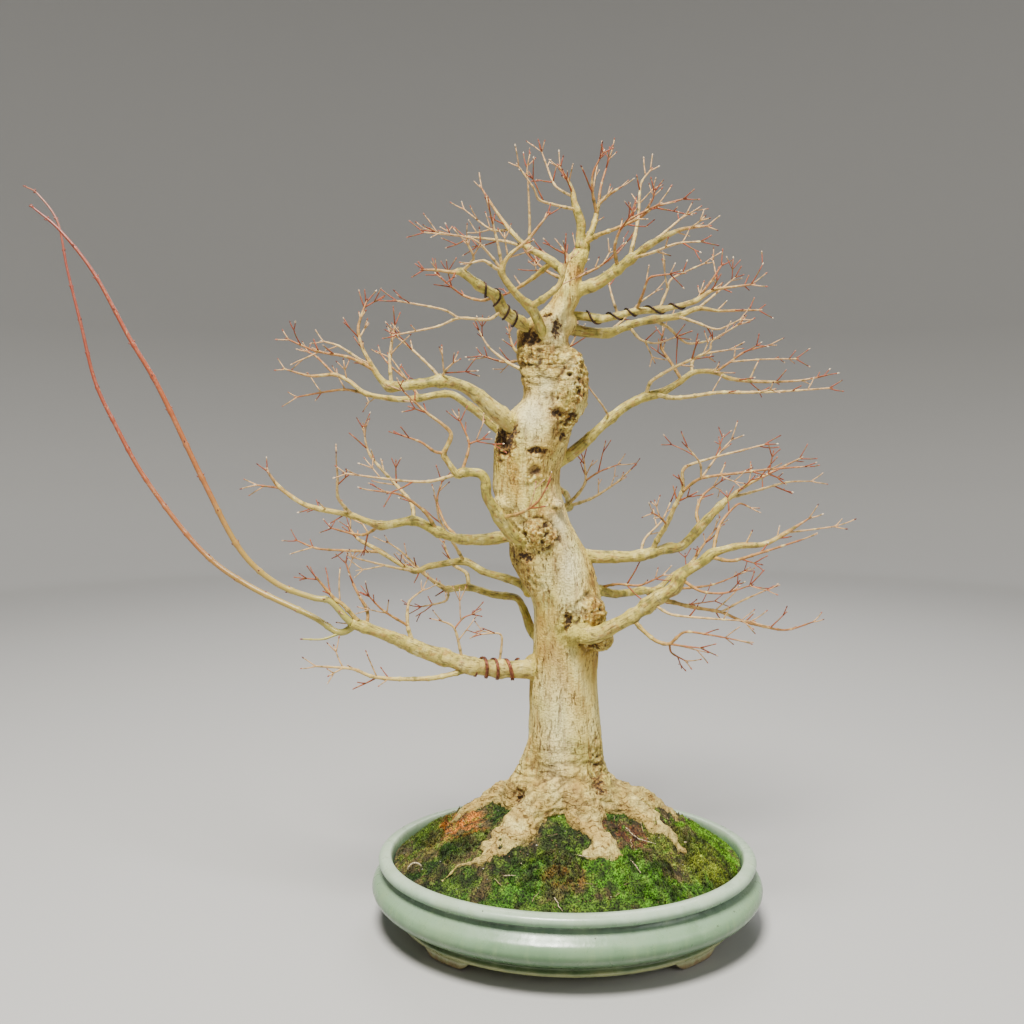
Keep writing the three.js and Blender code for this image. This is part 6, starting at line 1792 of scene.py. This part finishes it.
def shoot_angle(path, lengths, along, shoot):
    """Where a side shoot leaves a limb: the share of its length, the angle round it, and how far off."""
    foot = shoot[0][:3]
    far = np.linalg.norm(path[:, :3] - foot, axis=1)
    i = int(far.argmin())
    up = unit(UP - along[i] * along[i][2])
    side = np.cross(along[i], up)
    away = shoot[1][:3] - foot
    return lengths[i] / lengths[-1], math.atan2(away @ side, away @ up), far[i] < path[i][3] + 1


def wire_route(limb, start, end, turns, lag):
    """A helix along a limb that passes each side shoot on the side away from it."""
    stem, shoots = LIMBS[limb]
    path = smooth_path(tree_points(stem), 1.5)
    lengths = path_lengths(path[:, :3])
    along, _, _ = path_frames(path[:, :3])
    speed = FULL_TURN * turns / (end - start)
    knots = [(start, 0.0)]
    for share, angle, close in sorted(shoot_angle(path, lengths, along, tree_points(s)) for s in shoots):
        if close and knots[-1][0] < share < end:
            expected = knots[-1][1] + speed * (share - knots[-1][0])
            away = angle + math.pi
            knots.append((share, away + FULL_TURN * round((expected - away) / FULL_TURN)))
    knots.append((end, knots[-1][1] + speed * (end - knots[-1][0])))
    shares = np.linspace(start, end, 40 * turns)
    angles = np.interp(shares, *zip(*knots)) + lag
    places = shares * lengths[-1]
    route = []
    for place, angle in zip(places, angles):
        x, y, z, radius = [np.interp(place, lengths, path[:, column]) for column in range(4)]
        i = int(np.searchsorted(lengths, place))
        up = unit(UP - along[i] * along[i][2])
        side = np.cross(along[i], up)
        reach = radius * 1.06 + WIRE_RADIUS * 0.9
        centre = np.array([x, y, z]) + (up * math.cos(angle) + side * math.sin(angle)) * reach
        route.append([*centre, WIRE_RADIUS])
    return np.array(route)


def make_wire(name, material, strands=1):
    limb, start, end, turns = WIRES[name]
    form = Form()
    for strand in range(strands):
        form.add_tube(wire_route(limb, start, end, turns, strand * STRAND_LAG), 10)
    add_piece(f"{name}_coil", form.mesh(f"{name}_coil"), material, "copper_wire", name)


# ---- studio, in metres ----
# The paper's radius and height, from the pot outwards.
FLOOR_PROFILE = [(0.02, 0), (2.3, 0), (2.8, 0.04), (3.15, 0.26), (3.3, 0.7), (3.35, 2.6)]
FLOOR_SIDES = 128
# Lights: name, place, what it points at, size, power in watts, and colour.
LIGHTS = [
    ("key_light", (-0.3, -1.05, 2.5), (0, 0, 0.35), 0.8, 150, (1.0, 0.97, 0.9)),
    ("fill_light", (1.7, -1.3, 1.3), (0, 0, 0.4), 1.6, 12, (1, 1, 1)),
    ("rim_light", (0.3, 1.7, 2.1), (0, 0, 0.5), 1.4, 24, (1, 1, 1)),
]
WORLD_STRENGTH = 0.2


def make_studio(material):
    """A round paper floor that curves up to a low wall all the way round."""
    line = smooth_path([[radius, height, 0] for radius, height in FLOOR_PROFILE], 0.08, 0.45)
    angles = ring_angles(FLOOR_SIDES)
    rings = [
        np.column_stack([radius * np.cos(angles), radius * np.sin(angles),
                         np.full(FLOOR_SIDES, max(height, 0))])
        for radius, height, _ in line
    ]
    quads = ring_quads(len(rings), FLOOR_SIDES).reshape(-1, 4)
    centre = np.arange(FLOOR_SIDES)[::-1]
    floor_mesh = bpy.data.meshes.new("studio_floor")
    faces = [*quads.tolist(), centre.tolist()]
    floor_mesh.from_pydata((np.vstack(rings) + POT_MIDDLE).tolist(), [], faces)
    floor_mesh.shade_smooth()
    floor_mesh.materials.append(material)
    floor = bpy.data.objects.new("studio_floor", floor_mesh)
    bpy.context.scene.collection.objects.link(floor)


def make_light(name, place, aim, size, power, colour):
    light = bpy.data.lights.new(name, "AREA")
    light.shape = "DISK"
    light.size = size
    light.energy = power
    light.color = colour
    lamp = bpy.data.objects.new(name, light)
    bpy.context.scene.collection.objects.link(lamp)
    lamp.location = POT_MIDDLE + np.array(place)
    away = lamp.location - type(lamp.location)(POT_MIDDLE + np.array(aim))
    lamp.rotation_euler = away.to_track_quat("Z", "Y").to_euler()


def make_world():
    """An even white light from all round."""
    world = bpy.data.worlds.new("studio_world")
    bpy.context.scene.world = world
    world.use_nodes = True
    background = world.node_tree.nodes["Background"]
    background.inputs["Color"].default_value = (1, 1, 1, 1)
    background.inputs["Strength"].default_value = WORLD_STRENGTH


def make_camera():
    camera = bpy.data.cameras.new("camera")
    camera.lens = CAMERA_LENS
    camera.sensor_width = CAMERA_SENSOR
    eye = bpy.data.objects.new("camera", camera)
    bpy.context.scene.collection.objects.link(eye)
    eye.location = POT_MIDDLE + np.array(CAMERA_PLACE)
    eye.rotation_euler = (math.radians(90 - CAMERA_TILT), 0, 0)
    bpy.context.scene.camera = eye


# ---- putting it together ----
make_camera()
make_studio(make_backdrop_look())
for light_settings in LIGHTS:
    make_light(*light_settings)
make_world()

chance = np.random.default_rng(SEED)
glaze = make_glaze_look()
make_pot(glaze)
make_soil(make_ground_look("akadama_soil", 0.95, 1.7, 1.4))
moss = make_ground_look("green_moss", 0.9, 1.3, 0.9)
for moss_name, (centre, half_sizes, thickness) in MOSSES.items():
    make_moss(moss_name, centre, half_sizes, thickness, moss, chance)
make_moss_film(moss, chance)
make_litter(make_ground_look("dry_litter", 0.8, 1.1, 0.3), chance)
make_trunk(make_trunk_look(), chance)
limb_bark = make_limb_look()
young_bark = make_shoot_look()
centre_line = trunk_axis()
for limb_name in LIMBS:
    if limb_name in LONG_SHOOTS:
        make_long_shoot(limb_name, young_bark, chance)
    else:
        make_limb(limb_name, limb_bark, chance, centre_line)
red_copper = make_wire_look("aged_copper", (0.09, 0.03, 0.018), (0.34, 0.12, 0.06), 0.35)
dark_copper = make_wire_look("dark_copper", (0.02, 0.015, 0.013), (0.09, 0.05, 0.035), 0.35)
make_wire("wire_low_left", red_copper, strands=2)
make_wire("wire_crown_left", dark_copper)
make_wire("wire_right_front", dark_copper)
screen_look = make_screen_look()
for screen in ("drain_screen_left", "drain_screen_right"):
    for material_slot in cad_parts[screen].material_slots:
        material_slot.material = screen_look
